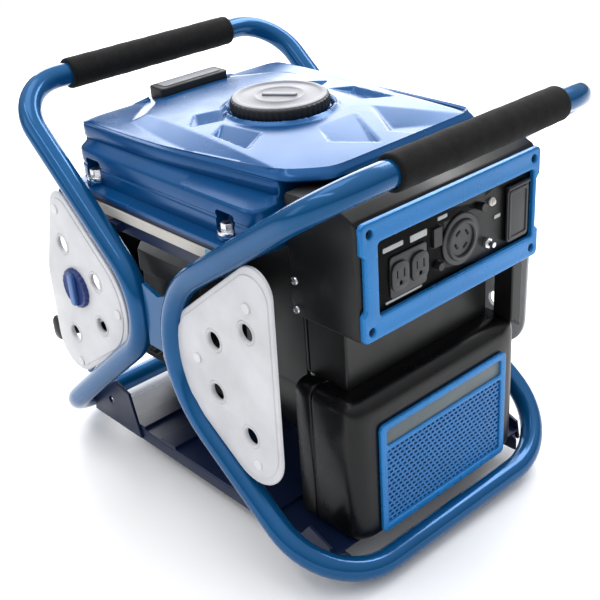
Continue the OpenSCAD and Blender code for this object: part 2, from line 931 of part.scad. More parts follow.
flange_right = -45;
stator_right = 125;
module alternator_flange() {
    color("gray") difference() {
        bar_x([case_right, 0, shaft_z], flange_right - case_right, stator_d - 6);
        bar_x([case_right - 1, 0, shaft_z], flange_right - case_right + 2, shaft_d + 6);
    }
}

rotor_d = 110;
rotor_gap = 1;
module stator() {
    color("gray") difference() {
        union() {
            bar_x([flange_right, 0, shaft_z], stator_right - flange_right, stator_d);
            for (side = [-1, 1])
                translate([85, side * isolator_y - 14, case_low])
                    cube([30, 28, 34]);
        }
        bar_x([flange_right - 1, 0, shaft_z], stator_right - flange_right + 2, rotor_d + 2 * rotor_gap);
    }
}

module rotor() {
    color("peru") difference() {
        bar_x([-36, 0, shaft_z], 150, rotor_d);
        bar_x([-37, 0, shaft_z], 152, shaft_d);
    }
}

shell_left = 137;
module end_bracket() {
    color("gray") difference() {
        bar_x([stator_right, 0, shaft_z], shell_left - stator_right, stator_d);
        bar_x([stator_right - 1, 0, shaft_z], shell_left - stator_right + 2, shaft_d + 2 * bearing_gap);
    }
}

shell_right = 229;
shell_half_w = 134;
shell_low = 38;
shell_high = 215;
shell_edge = 16;
shell_cut = 14;
grille_half_w = 103;
grille_low = 45;
grille_high = 183;
module rear_shell() {
    wall = 4;
    lip = 8;
    color("black") difference() {
        union() {
            cut_block_x([shell_left, -shell_half_w, shell_low],
                        [shell_right - shell_edge, shell_half_w, shell_high], shell_cut);
            cut_block_x([shell_right - shell_edge, -shell_half_w + 8, shell_low + 4],
                        [shell_right, shell_half_w - 8, shell_high - 9], shell_cut);
        }
        cut_block_x([shell_left + wall, -shell_half_w + wall, shell_low + wall],
                    [shell_right - shell_edge - wall, shell_half_w - wall, shell_high - wall],
                    shell_cut - 2);
        block([shell_right - 30, -grille_half_w + lip, grille_low + lip],
              [shell_right + 1, grille_half_w - lip, grille_high - lip]);
        bar_x([shell_left - 1, 0, shaft_z], wall + 2, stator_d - 10);
    }
}

mesh_top = 149;
module grille() {
    rim = 9;
    color("dodgerblue") difference() {
        block([shell_right, -grille_half_w, grille_low], [shell_right + 4, grille_half_w, grille_high]);
        block([shell_right - 1, -grille_half_w + rim, grille_low + rim],
              [shell_right + 5, grille_half_w - rim, mesh_top]);
        block([shell_right + 2, -grille_half_w + rim, mesh_top + 6],
              [shell_right + 5, grille_half_w - rim, grille_high - 7]);
    }
}

module grille_mesh() {
    rim = 9;
    bars = 8;
    low = grille_low + rim;
    pitch = (mesh_top - low) / bars;
    color("steelblue") difference() {
        block([shell_right + 0.5, -grille_half_w + rim, low],
              [shell_right + 3, grille_half_w - rim, mesh_top]);
        for (i = [0 : bars - 1])
            block([shell_right - 1, -grille_half_w + rim + 4, low + i * pitch + pitch * 0.35],
                  [shell_right + 5, grille_half_w - rim - 4, low + i * pitch + pitch * 0.65]);
    }
}

// ---------------------------------------------------------------- control box

box_left = 143;
box_front = 240;
box_low = 298;
box_top_z = 430;
strut_left = 203;
strut_right = 229;
strut_inner = 116;
skirt_near_y = -112;
skirt_front = 196;
wing_left = 36;
wing_low = 190;
wing_high = 362;
panel_t = 4;
bezel_t = 7;

// The box seen from the side, drawn in by the given amount but open at the given front
module box_section(inset, front) {
    polygon([[box_left + inset, box_low + 12 + inset], [box_left + 12 + inset, box_low + inset],
             [front, box_low + inset], [front, box_low + box_h - inset],
             [box_front - 18, box_top_z - inset], [box_left + inset, box_top_z - inset]]);
}

// The strut on the far side, whose foot follows the shell's cut edge
module far_strut() {
    translate([strut_left, 0, 0])
        rotate([90, 0, 90])
            linear_extrude(strut_right - strut_left)
                polygon([[strut_inner, shell_high], [shell_half_w - shell_cut, shell_high],
                         [shell_half_w, shell_high - shell_cut], [shell_half_w, box_low],
                         [strut_inner, box_low]]);
}

module control_box() {
    wall = 3;
    color("black") {
        translate([0, box_w / 2, 0])
            rotate([90, 0, 0])
                difference() {
                    linear_extrude(box_w)
                        box_section(0, box_front);
                    translate([0, 0, wall])
                        linear_extrude(box_w - 2 * wall)
                            box_section(wall, box_front + 1);
                }
        far_strut();
        block([shell_left, skirt_near_y, shell_high], [skirt_front, skirt_near_y + 4, box_low + 1]);
        // A wing under the tank that shields the alternator's near side
        block([wing_left, skirt_near_y, wing_low], [shell_left - 1, skirt_near_y + 4, wing_high]);
        block([shell_left - 2, skirt_near_y, shell_high + 1],
              [box_left + 1, skirt_near_y + 4, wing_high]);
        block([skirt_front - 6, skirt_near_y, shell_high], [skirt_front, strut_inner - 3, box_low]);
    }
}

// Things on the panel, as [y, z] of their centres
duplex_at = [-66, 352];
locking_at = [12, 357];
flap_low = [84, 327];
flap_high = [119, 389];
rocker_at = [-24, 372];
breaker_at = [[-22, 340], [44, 382]];
stud_at = [54, 338];
rocker_size = [13, 22];
rocker_pivot_d = 9;
breaker_d = 9;
button_gap = 0.4;

module panel_face() {
    half = box_w / 2 - 4;
    color("black") difference() {
        block([box_front - panel_t, -half, box_low + 4], [box_front, half, box_low + box_h - 4]);
        translate([box_front - panel_t - 1, rocker_at.x, rocker_at.y])
            rotate([90, 0, 90])
                linear_extrude(panel_t + 2)
                    square(rocker_size, center = true);
        for (p = breaker_at)
            bar_x([box_front - panel_t - 1, p.x, p.y], panel_t + 2, breaker_d + 2 * button_gap);
    }
}

bezel_open_low = [-104, 323];
bezel_open_high = [122, 398];
bezel_hole_d = 7;
module panel_bezel() {
    half = box_w / 2;
    tab = 12;
    color("deepskyblue") difference() {
        block([box_front, -half, box_low], [box_front + bezel_t, half, box_low + box_h]);
        block([box_front - 1, bezel_open_low.x, bezel_open_low.y],
              [box_front + bezel_t + 1, bezel_open_high.x, bezel_open_high.y]);
        for (side = [-1, 1])
            translate([box_front - 1, side * (half + 4) - 4 - 4 * side, box_low + 2.2 * tab])
                cube([bezel_t + 2, 8, box_h - 4.4 * tab]);
        for (side = [-1, 1], z = [box_low + tab, box_low + box_h - tab])
            bar_x([box_front - 1, side * (half - tab), z], bezel_t + 2, bezel_hole_d);
    }
}

module duplex_outlet() {
    color("dimgray") {
        difference() {
            block([box_front, duplex_at.x - 26, duplex_at.y - 22],
                  [box_front + 2, duplex_at.x + 26, duplex_at.y + 22]);
            for (side = [-1, 1])
                bar_x([box_front - 1, duplex_at.x + side * 13, duplex_at.y], 4, 22);
        }
        for (side = [-1, 1])
            difference() {
                bar_x([box_front, duplex_at.x + side * 13, duplex_at.y], 3, 22 - 0.4);
                for (slot = [-5, 5])
                    block([box_front + 0.5, duplex_at.x + side * 13 + slot - 0.8, duplex_at.y - 3],
                          [box_front + 4, duplex_at.x + side * 13 + slot + 0.8, duplex_at.y + 5]);
            }
    }
}

module locking_outlet() {
    color("dimgray") difference() {
        union() {
            bar_x([box_front, locking_at.x, locking_at.y], 2, 56);
            bar_x([box_front, locking_at.x, locking_at.y], 5, 42);
        }
        bar_x([box_front + 3, locking_at.x, locking_at.y], 4, 34);
    }
}

flap_hinge_d = 5;
module outlet_flap() {
    color("dimgray") {
        block([box_front + 1, flap_low.x, flap_low.y], [box_front + 4, flap_high.x, flap_high.y - 3]);
        bar_y([box_front + 1 + flap_hinge_d / 2, flap_low.x, flap_high.y - 1],
              flap_high.x - flap_low.x, flap_hinge_d);
    }
}

// A paddle with the round back that it rocks on
module rocker_switch() {
    w = rocker_size.x / 2 - button_gap;
    h = rocker_size.y / 2 - 2 * button_gap;
    color("black") {
        block([box_front - 1, rocker_at.x - w, rocker_at.y - h],
              [box_front + 3, rocker_at.x + w, rocker_at.y + h]);
        bar_y([box_front - 2, rocker_at.x - w, rocker_at.y], 2 * w, rocker_pivot_d);
    }
}

module breaker_button(p) {
    color("gainsboro") bar_x([box_front - panel_t + 1, p.x, p.y], panel_t + 5, breaker_d);
}
module left_breaker_button() {
    breaker_button(breaker_at[0]);
}
module right_breaker_button() {
    breaker_button(breaker_at[1]);
}

stud_d = 6;
module ground_stud() {
    color("gainsboro") {
        bar_x([box_front, stud_at.x, stud_at.y], 11, stud_d);
        translate([box_front, stud_at.x, stud_at.y])
            rotate([0, 90, 0])
                hex_head(12, 4);
    }
}

// ---------------------------------------------------------------- the nodes

left_loop();
right_loop();
welded_tabs();
base_rails();
corner_brackets();
base_tray();
rubber_feet();
engine_isolators();
left_grip();
right_grip();
near_left_plate();
near_right_plate();
far_side_plates();
plate_screws();
engine_dial();
tank_support_rails();
trim_strips();
fuel_tank();
tank_bolts();
fuel_cap();
fuel_gauge();
fuel_tap();
fuel_hose();
crankcase();
cylinder_barrel();
cylinder_head();
valve_cover();
spark_plug();
spark_plug_boot();
oil_dipstick();
drain_bolt();
crankshaft();
flywheel_fan();
fan_shroud();
recoil_housing();
recoil_pulley();
recoil_rope();
recoil_handle();
carburettor();
air_filter_box();
exhaust_pipe();
muffler();
muffler_shield();
alternator_flange();
stator();
rotor();
end_bracket();
rear_shell();
grille();
grille_mesh();
control_box();
panel_face();
panel_bezel();
duplex_outlet();
locking_outlet();
outlet_flap();
rocker_switch();
left_breaker_button();
right_breaker_button();
ground_stud();
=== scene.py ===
"""Looks for an open-frame portable generator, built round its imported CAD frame.

Lengths are in millimetres in the CAD frame, and from_mesh_code() turns them into metres: +X is
the control-panel end, -Y the side with the engine dial, and Z is up from the floor. The lights,
the floor and the camera are placed in metres.
"""

import json
import math

import bmesh
import bpy
from mathutils import Matrix, Vector


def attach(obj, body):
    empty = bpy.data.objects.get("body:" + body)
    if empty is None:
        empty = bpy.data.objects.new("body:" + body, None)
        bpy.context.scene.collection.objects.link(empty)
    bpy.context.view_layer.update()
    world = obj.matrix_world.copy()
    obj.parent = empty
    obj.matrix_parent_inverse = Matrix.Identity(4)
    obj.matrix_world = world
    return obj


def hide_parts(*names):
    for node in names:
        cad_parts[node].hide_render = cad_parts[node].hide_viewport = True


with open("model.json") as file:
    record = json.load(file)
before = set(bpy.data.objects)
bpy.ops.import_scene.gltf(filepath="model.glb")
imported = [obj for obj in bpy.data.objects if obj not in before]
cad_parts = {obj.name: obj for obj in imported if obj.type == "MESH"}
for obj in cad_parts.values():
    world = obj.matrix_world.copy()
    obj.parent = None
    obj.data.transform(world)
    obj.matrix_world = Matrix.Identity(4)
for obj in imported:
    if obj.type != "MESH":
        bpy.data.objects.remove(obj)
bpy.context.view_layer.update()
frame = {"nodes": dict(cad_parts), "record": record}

MM = 0.001
GENERATOR = "generator"


# ------------------------------------------------------------------ materials


def linear(rgb):
    """An sRGB colour from 0 to 255 as the linear colour that shaders take."""
    channels = [c / 255 for c in rgb]
    return tuple(c / 12.92 if c <= 0.04045 else ((c + 0.055) / 1.055) ** 2.4 for c in channels)


def shaded(rgb, factor):
    return tuple(min(1.0, c * factor) for c in linear(rgb)) + (1.0,)


class Finish:
    """A Principled material whose colour, roughness and relief come from noise."""

    def __init__(self, name, rgb, roughness, metallic=0.0, specular=0.5):
        """Metallic and specular are even over the whole surface."""
        self.material = bpy.data.materials.new(name)
        self.material.use_nodes = True
        self.nodes = self.material.node_tree.nodes
        self.links = self.material.node_tree.links
        self.shader = self.nodes["Principled BSDF"]
        self.shader.inputs["Metallic"].default_value = metallic
        self.shader.inputs["Specular IOR Level"].default_value = specular
        self.rgb = rgb
        self.roughness = roughness
        self.coordinates = self.nodes.new("ShaderNodeTexCoord")

    def noise(self, scale, detail=4.0, stretch=(1, 1, 1)):
        mapping = self.nodes.new("ShaderNodeMapping")
        mapping.inputs["Scale"].default_value = stretch
        noise = self.nodes.new("ShaderNodeTexNoise")
        noise.inputs["Scale"].default_value = scale
        noise.inputs["Detail"].default_value = detail
        self.links.new(self.coordinates.outputs["Object"], mapping.inputs["Vector"])
        self.links.new(mapping.outputs["Vector"], noise.inputs["Vector"])
        return noise.outputs["Fac"]

    def tones(self, spread, scale, stretch=(1, 1, 1)):
        """The colour drifts by spread either side of the base colour."""
        ramp = self.nodes.new("ShaderNodeValToRGB")
        ramp.color_ramp.elements[0].position = 0.3
        ramp.color_ramp.elements[1].position = 0.7
        ramp.color_ramp.elements[0].color = shaded(self.rgb, 1 - spread)
        ramp.color_ramp.elements[1].color = shaded(self.rgb, 1 + spread)
        self.links.new(self.noise(scale, stretch=stretch), ramp.inputs["Fac"])
        self.links.new(ramp.outputs["Color"], self.shader.inputs["Base Color"])
        return self

    def gloss(self, spread, scale, stretch=(1, 1, 1)):
        """The roughness drifts by spread either side of its middle value."""
        limits = self.nodes.new("ShaderNodeMapRange")
        limits.inputs["From Min"].default_value = 0.3
        limits.inputs["From Max"].default_value = 0.7
        limits.inputs["To Min"].default_value = max(0.02, self.roughness - spread)
        limits.inputs["To Max"].default_value = min(1.0, self.roughness + spread)
        self.links.new(self.noise(scale, stretch=stretch), limits.inputs["Value"])
        self.links.new(limits.outputs["Result"], self.shader.inputs["Roughness"])
        return self

    def relief(self, depth_mm, scale, strength=0.4, stretch=(1, 1, 1)):
        bump = self.nodes.new("ShaderNodeBump")
        bump.inputs["Strength"].default_value = strength
        bump.inputs["Distance"].default_value = depth_mm * MM
        self.links.new(self.noise(scale, stretch=stretch), bump.inputs["Height"])
        self.links.new(bump.outputs["Normal"], self.shader.inputs["Normal"])
        return self


def gloss_paint(name, rgb, roughness=0.22, metallic=0.3):
    """Sprayed gloss paint with a little metal in it, so that its highlights are tinted."""
    finish = Finish(name, rgb, roughness, metallic=metallic, specular=0.35)
    return finish.tones(0.07, 14).gloss(0.04, 30).relief(0.05, 220, 0.1).material


def satin_paint(name, rgb, roughness=0.42):
    finish = Finish(name, rgb, roughness, specular=0.35)
    return finish.tones(0.1, 18).gloss(0.05, 25).relief(0.08, 420, 0.18).material


def moulded(name, rgb, roughness=0.5, grain=0.3, specular=0.5):
    """Moulded plastic with a fine spark-eroded texture."""
    finish = Finish(name, rgb, roughness, specular=specular)
    return finish.tones(0.08, 24).gloss(0.05, 30).relief(0.1, 1100, grain).material


def cast_metal(name, rgb, roughness=0.5):
    finish = Finish(name, rgb, roughness, metallic=0.85)
    return finish.tones(0.18, 60).gloss(0.12, 110).relief(0.35, 480, 0.5).material


def rolled_metal(name, rgb, roughness=0.3, stretch=(1, 1, 14), metallic=1.0):
    """Sheet or bar metal with fine drawn lines across the stretched axis."""
    finish = Finish(name, rgb, roughness, metallic=metallic)
    finish.tones(0.1, 50, stretch).gloss(0.1, 120, stretch)
    return finish.relief(0.03, 300, 0.25, stretch).material


def foam(name, rgb):
    """Foam rubber: open, dull and slightly lumpy."""
    finish = Finish(name, rgb, 0.88, specular=0.2)
    finish.shader.inputs["Sheen Weight"].default_value = 0.03
    finish.shader.inputs["Sheen Roughness"].default_value = 0.6
    return finish.tones(0.35, 240).gloss(0.06, 90).relief(0.6, 620, 0.55).material


def rubber(name, rgb):
    finish = Finish(name, rgb, 0.7, specular=0.3)
    return finish.tones(0.2, 90).gloss(0.08, 90).relief(0.2, 700, 0.35).material


def braided(name, rgb):
    finish = Finish(name, rgb, 0.8, specular=0.2)
    twist = (0.35, 1, 1)
    return finish.tones(0.25, 900, twist).gloss(0.05, 300).relief(0.5, 900, 0.8, twist).material


MATERIALS = {
    "frame_blue": gloss_paint("frame_blue", (10, 80, 130), 0.15),
    "dark_blue": satin_paint("dark_blue", (16, 30, 62)),
    "tank_blue": gloss_paint("tank_blue", (4, 74, 128), 0.24),
    "trim_silver": satin_paint("trim_silver", (204, 204, 207), 0.4),
    "bolt_steel": rolled_metal("bolt_steel", (214, 216, 220), 0.28, (1, 1, 3)),
    "shaft_steel": rolled_metal("shaft_steel", (168, 170, 174), 0.25, (1, 8, 8)),
    "cast_alloy": cast_metal("cast_alloy", (70, 70, 72)),
    "rusted_pipe": cast_metal("rusted_pipe", (92, 74, 62), 0.55),
    "muffler_steel": cast_metal("muffler_steel", (84, 80, 78), 0.5),
    "brass": rolled_metal("brass", (206, 168, 96), 0.3, (1, 1, 4)),
    "black_rubber": rubber("black_rubber", (22, 22, 23)),
    "grip_foam": foam("grip_foam", (13, 13, 14)),
    "black_plastic": moulded("black_plastic", (20, 20, 22), 0.48),
    "black_paint": satin_paint("black_paint", (15, 15, 16), 0.36),
    "black_gloss": moulded("black_gloss", (11, 11, 12), 0.3, 0.1, 0.3),
    "grey_plastic": moulded("grey_plastic", (112, 113, 120), 0.45),
    "blue_plastic": gloss_paint("blue_plastic", (26, 118, 186), 0.28, 0.2),
    "yellow_plastic": moulded("yellow_plastic", (216, 168, 30), 0.45),
    "ceramic": moulded("ceramic", (226, 222, 212), 0.2, 0.02),
    "copper_winding": cast_metal("copper_winding", (150, 90, 60), 0.45),
    "white_cord": braided("white_cord", (206, 204, 196)),
    "dial_blue": gloss_paint("dial_blue", (34, 52, 108), 0.35, 0.1),
    "dial_light": gloss_paint("dial_light", (66, 104, 164), 0.35, 0.1),
    "badge_grey": moulded("badge_grey", (84, 96, 100), 0.4, 0.15),
    "mesh_blue": gloss_paint("mesh_blue", (38, 112, 178), 0.35, 0.1),
    "fitting_grey": moulded("fitting_grey", (38, 38, 41), 0.38, 0.15),
    "screw_silver": satin_paint("screw_silver", (212, 212, 214), 0.3),
    "label_grey": moulded("label_grey", (178, 180, 180), 0.5, 0.1),
    "trim_cream": satin_paint("trim_cream", (196, 192, 184), 0.35),
    "trim_cyan": gloss_paint("trim_cyan", (50, 150, 190), 0.3, 0.0),
}


# ------------------------------------------------------------------ mesh helpers


def from_mesh_code(name, bm, finish, body=GENERATOR, replaces=(), smooth=32, bevel=0.0, segments=2):
    """A piece made of bm, which is in millimetres. Edges sharper than smooth degrees stay sharp,
    unless bevel gives their width in millimetres."""
    bmesh.ops.recalc_face_normals(bm, faces=bm.faces)
    for face in bm.faces:
        face.smooth = True
    if not bevel:
        for edge in bm.edges:
            if len(edge.link_faces) == 2 and edge.calc_face_angle(0.0) > math.radians(smooth):
                edge.smooth = False
    bmesh.ops.scale(bm, vec=(MM, MM, MM), verts=bm.verts)
    mesh = bpy.data.meshes.new(name)
    bm.to_mesh(mesh)
    bm.free()
    return add_piece(name, mesh, finish, body, replaces, bevel, segments)


def add_piece(name, mesh, finish, body=GENERATOR, replaces=(), bevel=0.0, segments=2):
    piece = bpy.data.objects.new(name, mesh)
    bpy.context.scene.collection.objects.link(piece)
    mesh.materials.clear()
    mesh.materials.append(MATERIALS[finish])
    if bevel:
        soften(piece, bevel, segments)
    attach(piece, body)
    if replaces:
        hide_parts(*replaces)
    return piece


def soften(piece, width, segments=2, angle=30):
    """Rounds a piece's hard edges and shades the rest flat."""
    bevel = piece.modifiers.new("edges", "BEVEL")
    bevel.width = width * MM
    bevel.segments = segments
    bevel.limit_method = "ANGLE"
    bevel.angle_limit = math.radians(angle)
    bevel.use_clamp_overlap = True
    normals = piece.modifiers.new("normals", "WEIGHTED_NORMAL")
    normals.weight = 80


def bridge_rings(bm, rings, closed_along=False, caps=True):
    """Skins a run of rings, each a list of points with the same count."""
    made = [[bm.verts.new(p) for p in ring] for ring in rings]
    count = len(made[0])
    pairs = list(zip(made, made[1:]))
    if closed_along:
        pairs.append((made[-1], made[0]))
    for first, second in pairs:
        for i in range(count):
            j = (i + 1) % count
            bm.faces.new((first[i], first[j], second[j], second[i]))
    if caps and not closed_along:
        bm.faces.new(made[0])
        bm.faces.new(made[-1])
    return made


def box_into(bm, low, high):
    """Adds a block between two corners."""
    size = Vector(high) - Vector(low)
    centre = (Vector(high) + Vector(low)) / 2
    place = Matrix.Translation(centre) @ Matrix.Diagonal((*size, 1))
    bmesh.ops.create_cube(bm, size=1.0, matrix=place)


def turned(profile, sides=64):
    """Rings of a shape turned about Z, from (radius, height) pairs."""
    return [
        [
            Vector((r * math.cos(2 * math.pi * i / sides), r * math.sin(2 * math.pi * i / sides), h))
            for i in range(sides)
        ]
        for r, h in profile
    ]


AXES = {
    "X": Matrix(((0, 0, 1), (1, 0, 0), (0, 1, 0))),
    "-X": Matrix(((0, 0, -1), (-1, 0, 0), (0, 1, 0))),
    "Y": Matrix(((0, 1, 0), (0, 0, 1), (1, 0, 0))),
    "-Y": Matrix(((1, 0, 0), (0, 0, -1), (0, 1, 0))),
    "Z": Matrix.Identity(3),
}


def place_rings(rings, origin, axis="Z"):
    turn = AXES[axis]
    return [[Vector(origin) + turn @ p for p in ring] for ring in rings]


def rounded(corners, radii, steps=6):
    """A closed outline with each corner rounded, as 2-D points."""
    points = []
    count = len(corners)
    for i, corner in enumerate(corners):
        before = Vector(corners[i - 1])
        here = Vector(corner)
        after = Vector(corners[(i + 1) % count])
        radius = radii[i] if isinstance(radii, (list, tuple)) else radii
        points += bend(before, here, after, radius, steps)
    return points


def bend(a, b, c, radius, steps):
    """Points of the arc of the given radius that rounds corner b between a and c."""
    u, v = (a - b).normalized(), (c - b).normalized()
    half = math.acos(max(-1.0, min(1.0, u.dot(v)))) / 2
    if radius <= 0 or half > math.radians(89.9):
        return [b.copy()]
    centre = b + (u + v).normalized() * radius / math.sin(half)
    start = b + u * radius / math.tan(half)
    x = (start - centre).normalized()
    sweep = math.pi - 2 * half
    return [
        centre + radius * (x * math.cos(sweep * i / steps) - u * math.sin(sweep * i / steps))
        for i in range(steps + 1)
    ]


def rectangle(low, high):
    return [(low[0], low[1]), (high[0], low[1]), (high[0], high[1]), (low[0], high[1])]


def circle(centre, radius, sides=40):
    return [
        (centre[0] + radius * math.cos(2 * math.pi * i / sides),
         centre[1] + radius * math.sin(2 * math.pi * i / sides))
        for i in range(sides)
    ]


def cut_sheet(outlines, thickness, edge=0.6, edge_steps=2):
    """A flat sheet with rounded edges: the first outline, with the others cut out of it.
    It comes in millimetres in the XY plane, centred on z = 0."""
    curve = bpy.data.curves.new("cut", "CURVE")
    curve.dimensions = "2D"
    curve.fill_mode = "BOTH"
    curve.extrude = thickness / 2 - edge
    curve.bevel_depth = edge
    curve.bevel_resolution = edge_steps
    curve.offset = -edge
    for outline in outlines:
        spline = curve.splines.new("POLY")
        spline.points.add(len(outline) - 1)
        for point, place in zip(spline.points, outline):
            point.co = (place[0], place[1], 0, 1)
        spline.use_cyclic_u = True
    holder = bpy.data.objects.new("cut", curve)
    bpy.context.scene.collection.objects.link(holder)
    depsgraph = bpy.context.evaluated_depsgraph_get()
    mesh = bpy.data.meshes.new_from_object(holder.evaluated_get(depsgraph))
    bpy.data.objects.remove(holder)
    bpy.data.curves.remove(curve)
    bm = bmesh.new()
    bm.from_mesh(mesh)
    bpy.data.meshes.remove(mesh)
    bmesh.ops.remove_doubles(bm, verts=bm.verts, dist=0.01)
    return bm


def stand_up(bm, origin, axis):
    """Moves a sheet from the XY plane so that its face looks along axis."""
    turn = AXES[axis].to_4x4()
    bmesh.ops.transform(bm, matrix=Matrix.Translation(origin) @ turn, verts=bm.verts)


def mirror_across(bm):
    """Moves what stands on the near side to the far side."""
    bmesh.ops.scale(bm, vec=(1, -1, 1), verts=bm.verts)


def join_into(bm, others):
    for other in others:
        mesh = bpy.data.meshes.new("part")
        other.to_mesh(mesh)
        other.free()
        bm.from_mesh(mesh)
        bpy.data.meshes.remove(mesh)


# ------------------------------------------------------------------ tube frame

TUBE_R = 13.45
HALF_WIDTH = 198
HANDLE_Z = 475.5
FOOT_Z = 22
HANDLE_BEND = 62
FOOT_BEND = 92
LOOPS = {
    "left": {"handle": -248, "waist": (2, 260), "bend": 76, "foot": -277},
    "right": {"handle": 272, "waist": (-67, 246.5), "bend": 116, "foot": 246},
}


def loop_path(loop, steps=14):
    w, (x, z) = HALF_WIDTH, loop["waist"]
    corners = [
        (loop["handle"], -w, HANDLE_Z), (loop["handle"], w, HANDLE_Z), (x, w, z),
        (loop["foot"], w, FOOT_Z), (loop["foot"], -w, FOOT_Z), (x, -w, z),
    ]
    radii = [HANDLE_BEND, HANDLE_BEND, loop["bend"], FOOT_BEND, FOOT_BEND, loop["bend"]]
    corners = [Vector(c) for c in corners]
    path = []
    for i, corner in enumerate(corners):
        path += bend(corners[i - 1], corner, corners[(i + 1) % len(corners)], radii[i], steps)
    return path


def swept_rings(path, radius, sides, closed):
    """Rings round a path, with each one's start carried along from the last."""
    rings, normal = [], None
    count = len(path)
    for i, point in enumerate(path):
        ahead = path[(i + 1) % count] if closed else path[min(i + 1, count - 1)]
        behind = path[i - 1] if closed or i else path[0]
        along = (ahead - behind).normalized()
        if normal is None:
            normal = Vector((0, 0, 1)) if abs(along.z) < 0.8 else Vector((1, 0, 0))
        normal = (normal - normal.dot(along) * along).normalized()
        across = along.cross(normal)
        rings.append([
            point + radius * (normal * math.cos(2 * math.pi * k / sides)
                              + across * math.sin(2 * math.pi * k / sides))
            for k in range(sides)
        ])
    return rings


def spread_out(path, longest):
    """Adds points to a closed path's long straight runs."""
    fuller = []
    for i, point in enumerate(path):
        after = path[(i + 1) % len(path)]
        pieces = max(1, math.ceil((after - point).length / longest))
        fuller += [point.lerp(after, k / pieces) for k in range(pieces)]
    return fuller


def make_loops():
    """The two bent tube loops that the machine hangs between."""
    for side, loop in LOOPS.items():
        bm = bmesh.new()
        path = spread_out(loop_path(loop), longest=30)
        rings = swept_rings(path, TUBE_R, sides=36, closed=True)
        bridge_rings(bm, rings, closed_along=True)
        from_mesh_code(side + "_tube_loop", bm, "frame_blue", replaces=[side + "_loop"])


def make_grips():
    """Foam sleeves with rounded ends and a slightly uneven skin."""
    half = 121.5
    foam_r = 18.1
    end = [(14.2, half), (16.6, half), (17.6, half - 0.8), (foam_r, half - 2.5)]
    stations = 60
    for side, loop in LOOPS.items():
        profile = [(r, -y) for r, y in end]
        for i in range(stations + 1):
            t = i / stations
            swell = foam_r + 0.12 * math.sin(t * 23) + 0.08 * math.sin(t * 61 + 1)
            profile.append((swell, -half + 5 + t * (2 * half - 10)))
        profile += reversed(end)
        bm = bmesh.new()
        rings = place_rings(turned(profile, 48), (loop["handle"], 0, HANDLE_Z), "Y")
        bridge_rings(bm, rings, closed_along=True)
        grip = from_mesh_code(side + "_foam_grip", bm, "grip_foam", replaces=[side + "_grip"], smooth=60)


# ------------------------------------------------------------------ side plates

PLATE_BACK = -196
PLATE_T = 4.0
PLATE_FRONT = PLATE_BACK - PLATE_T
PLATE_HOLE_R = 10.0
DIAL_HOLE_R = 13.2
# How much of the plate its raised face takes
FACE_SHARE = 0.93
LEFT_CORNERS = [(-188, 385), (-232.5, 255), (-232.5, 92), (-20, 236)]
LEFT_RADII = [22, 60, 38, 74]
RIGHT_CORNERS = [(193.5, 411), (187.5, 84), (-29.5, 234)]
RIGHT_RADII = [27, 45, 74]
LEFT_HOLES = [(-122, 271), (-123, 213), (-184, 301), (-189, 180)]
RIGHT_HOLES = [(97, 277), (94, 214), (151, 306), (144, 181)]
DIAL = (-165.5, 250)


def make_plate(name, corners, radii, holes, side, replaces, dial_hole=False):
    """A pressed plate: a rolled rim round a face, with dimpled holes."""
    outline = rounded(corners, radii, 14)
    cuts = [circle(h, PLATE_HOLE_R) for h in holes]
    if dial_hole:
        cuts.append(circle(DIAL, DIAL_HOLE_R))
    bm = cut_sheet([outline, *cuts], PLATE_T, 1.5, 3)
    stand_up(bm, (0, (PLATE_BACK + PLATE_FRONT) / 2, 0), "-Y")
    centre = sum(outline, Vector((0, 0))) / len(outline)
    face = [centre + (p - centre) * FACE_SHARE for p in outline]
    rims = [circle(h, PLATE_HOLE_R + 3.5) for h in holes]
    raised = cut_sheet([face, *rims, *cuts[len(holes):]], 2.4, 1.1, 3)
    stand_up(raised, (0, PLATE_FRONT, 0), "-Y")
    parts = [raised]
    dimple = [(-0.2, 0), (0, 1.0), (1.6, 2.0), (3.4, 1.2), (3.9, 0)]
    lip = [(PLATE_HOLE_R + out, height) for out, height in dimple]
    for x, z in holes:
        ring = bmesh.new()
        rings = place_rings(turned(lip, 40), (x, PLATE_FRONT, z), "-Y")
        bridge_rings(ring, rings, closed_along=True)
        parts.append(ring)
    join_into(bm, parts)
    if side > 0:
        mirror_across(bm)
    from_mesh_code(name, bm, "trim_silver", replaces=replaces, smooth=50)


def make_plates():
    left = (LEFT_CORNERS, LEFT_RADII, LEFT_HOLES)
    right = (RIGHT_CORNERS, RIGHT_RADII, RIGHT_HOLES)
    make_plate("left_side_plate", *left, -1, ["near_left_plate"], dial_hole=True)
    make_plate("right_side_plate", *right, -1, ["near_right_plate"])
    make_plate("far_left_plate", *left, 1, ["far_side_plates"])
    make_plate("far_right_plate", *right, 1, ["far_side_plates"])


def make_dial():
    """The engine dial: a fluted skirt, a dished face and a raised pointer bar."""
    bm = bmesh.new()
    sides, flutes = 120, 20
    profile = [(13, -6), (13, 0.4), (24.5, 0.4), (25, 1.2), (24.6, 5), (23.6, 6.4), (21, 7.2),
               (19, 6.0), (12, 5.4), (0.5, 5.2)]
    rings = turned(profile, sides)
    for ring, (radius, _) in zip(rings, profile):
        if radius > 22:
            for i, point in enumerate(ring):
                dip = 0.9 * max(0.0, math.cos(2 * math.pi * flutes * i / sides))
                point.x *= (radius - dip) / radius
                point.y *= (radius - dip) / radius
    bridge_rings(bm, place_rings(rings, (DIAL[0], PLATE_FRONT, DIAL[1]), "-Y"))
    from_mesh_code("dial_knob", bm, "dial_blue", "engine_dial", ["engine_dial"])
    bar = cut_sheet([rounded(rectangle((-5, -21), (5, 21)), 4.5)], 5.6, 1.4, 3)
    stand_up(bar, (DIAL[0], PLATE_FRONT - 8, DIAL[1]), "-Y")
    from_mesh_code("dial_pointer", bar, "dial_light", "engine_dial")


# ------------------------------------------------------------------ fuel tank

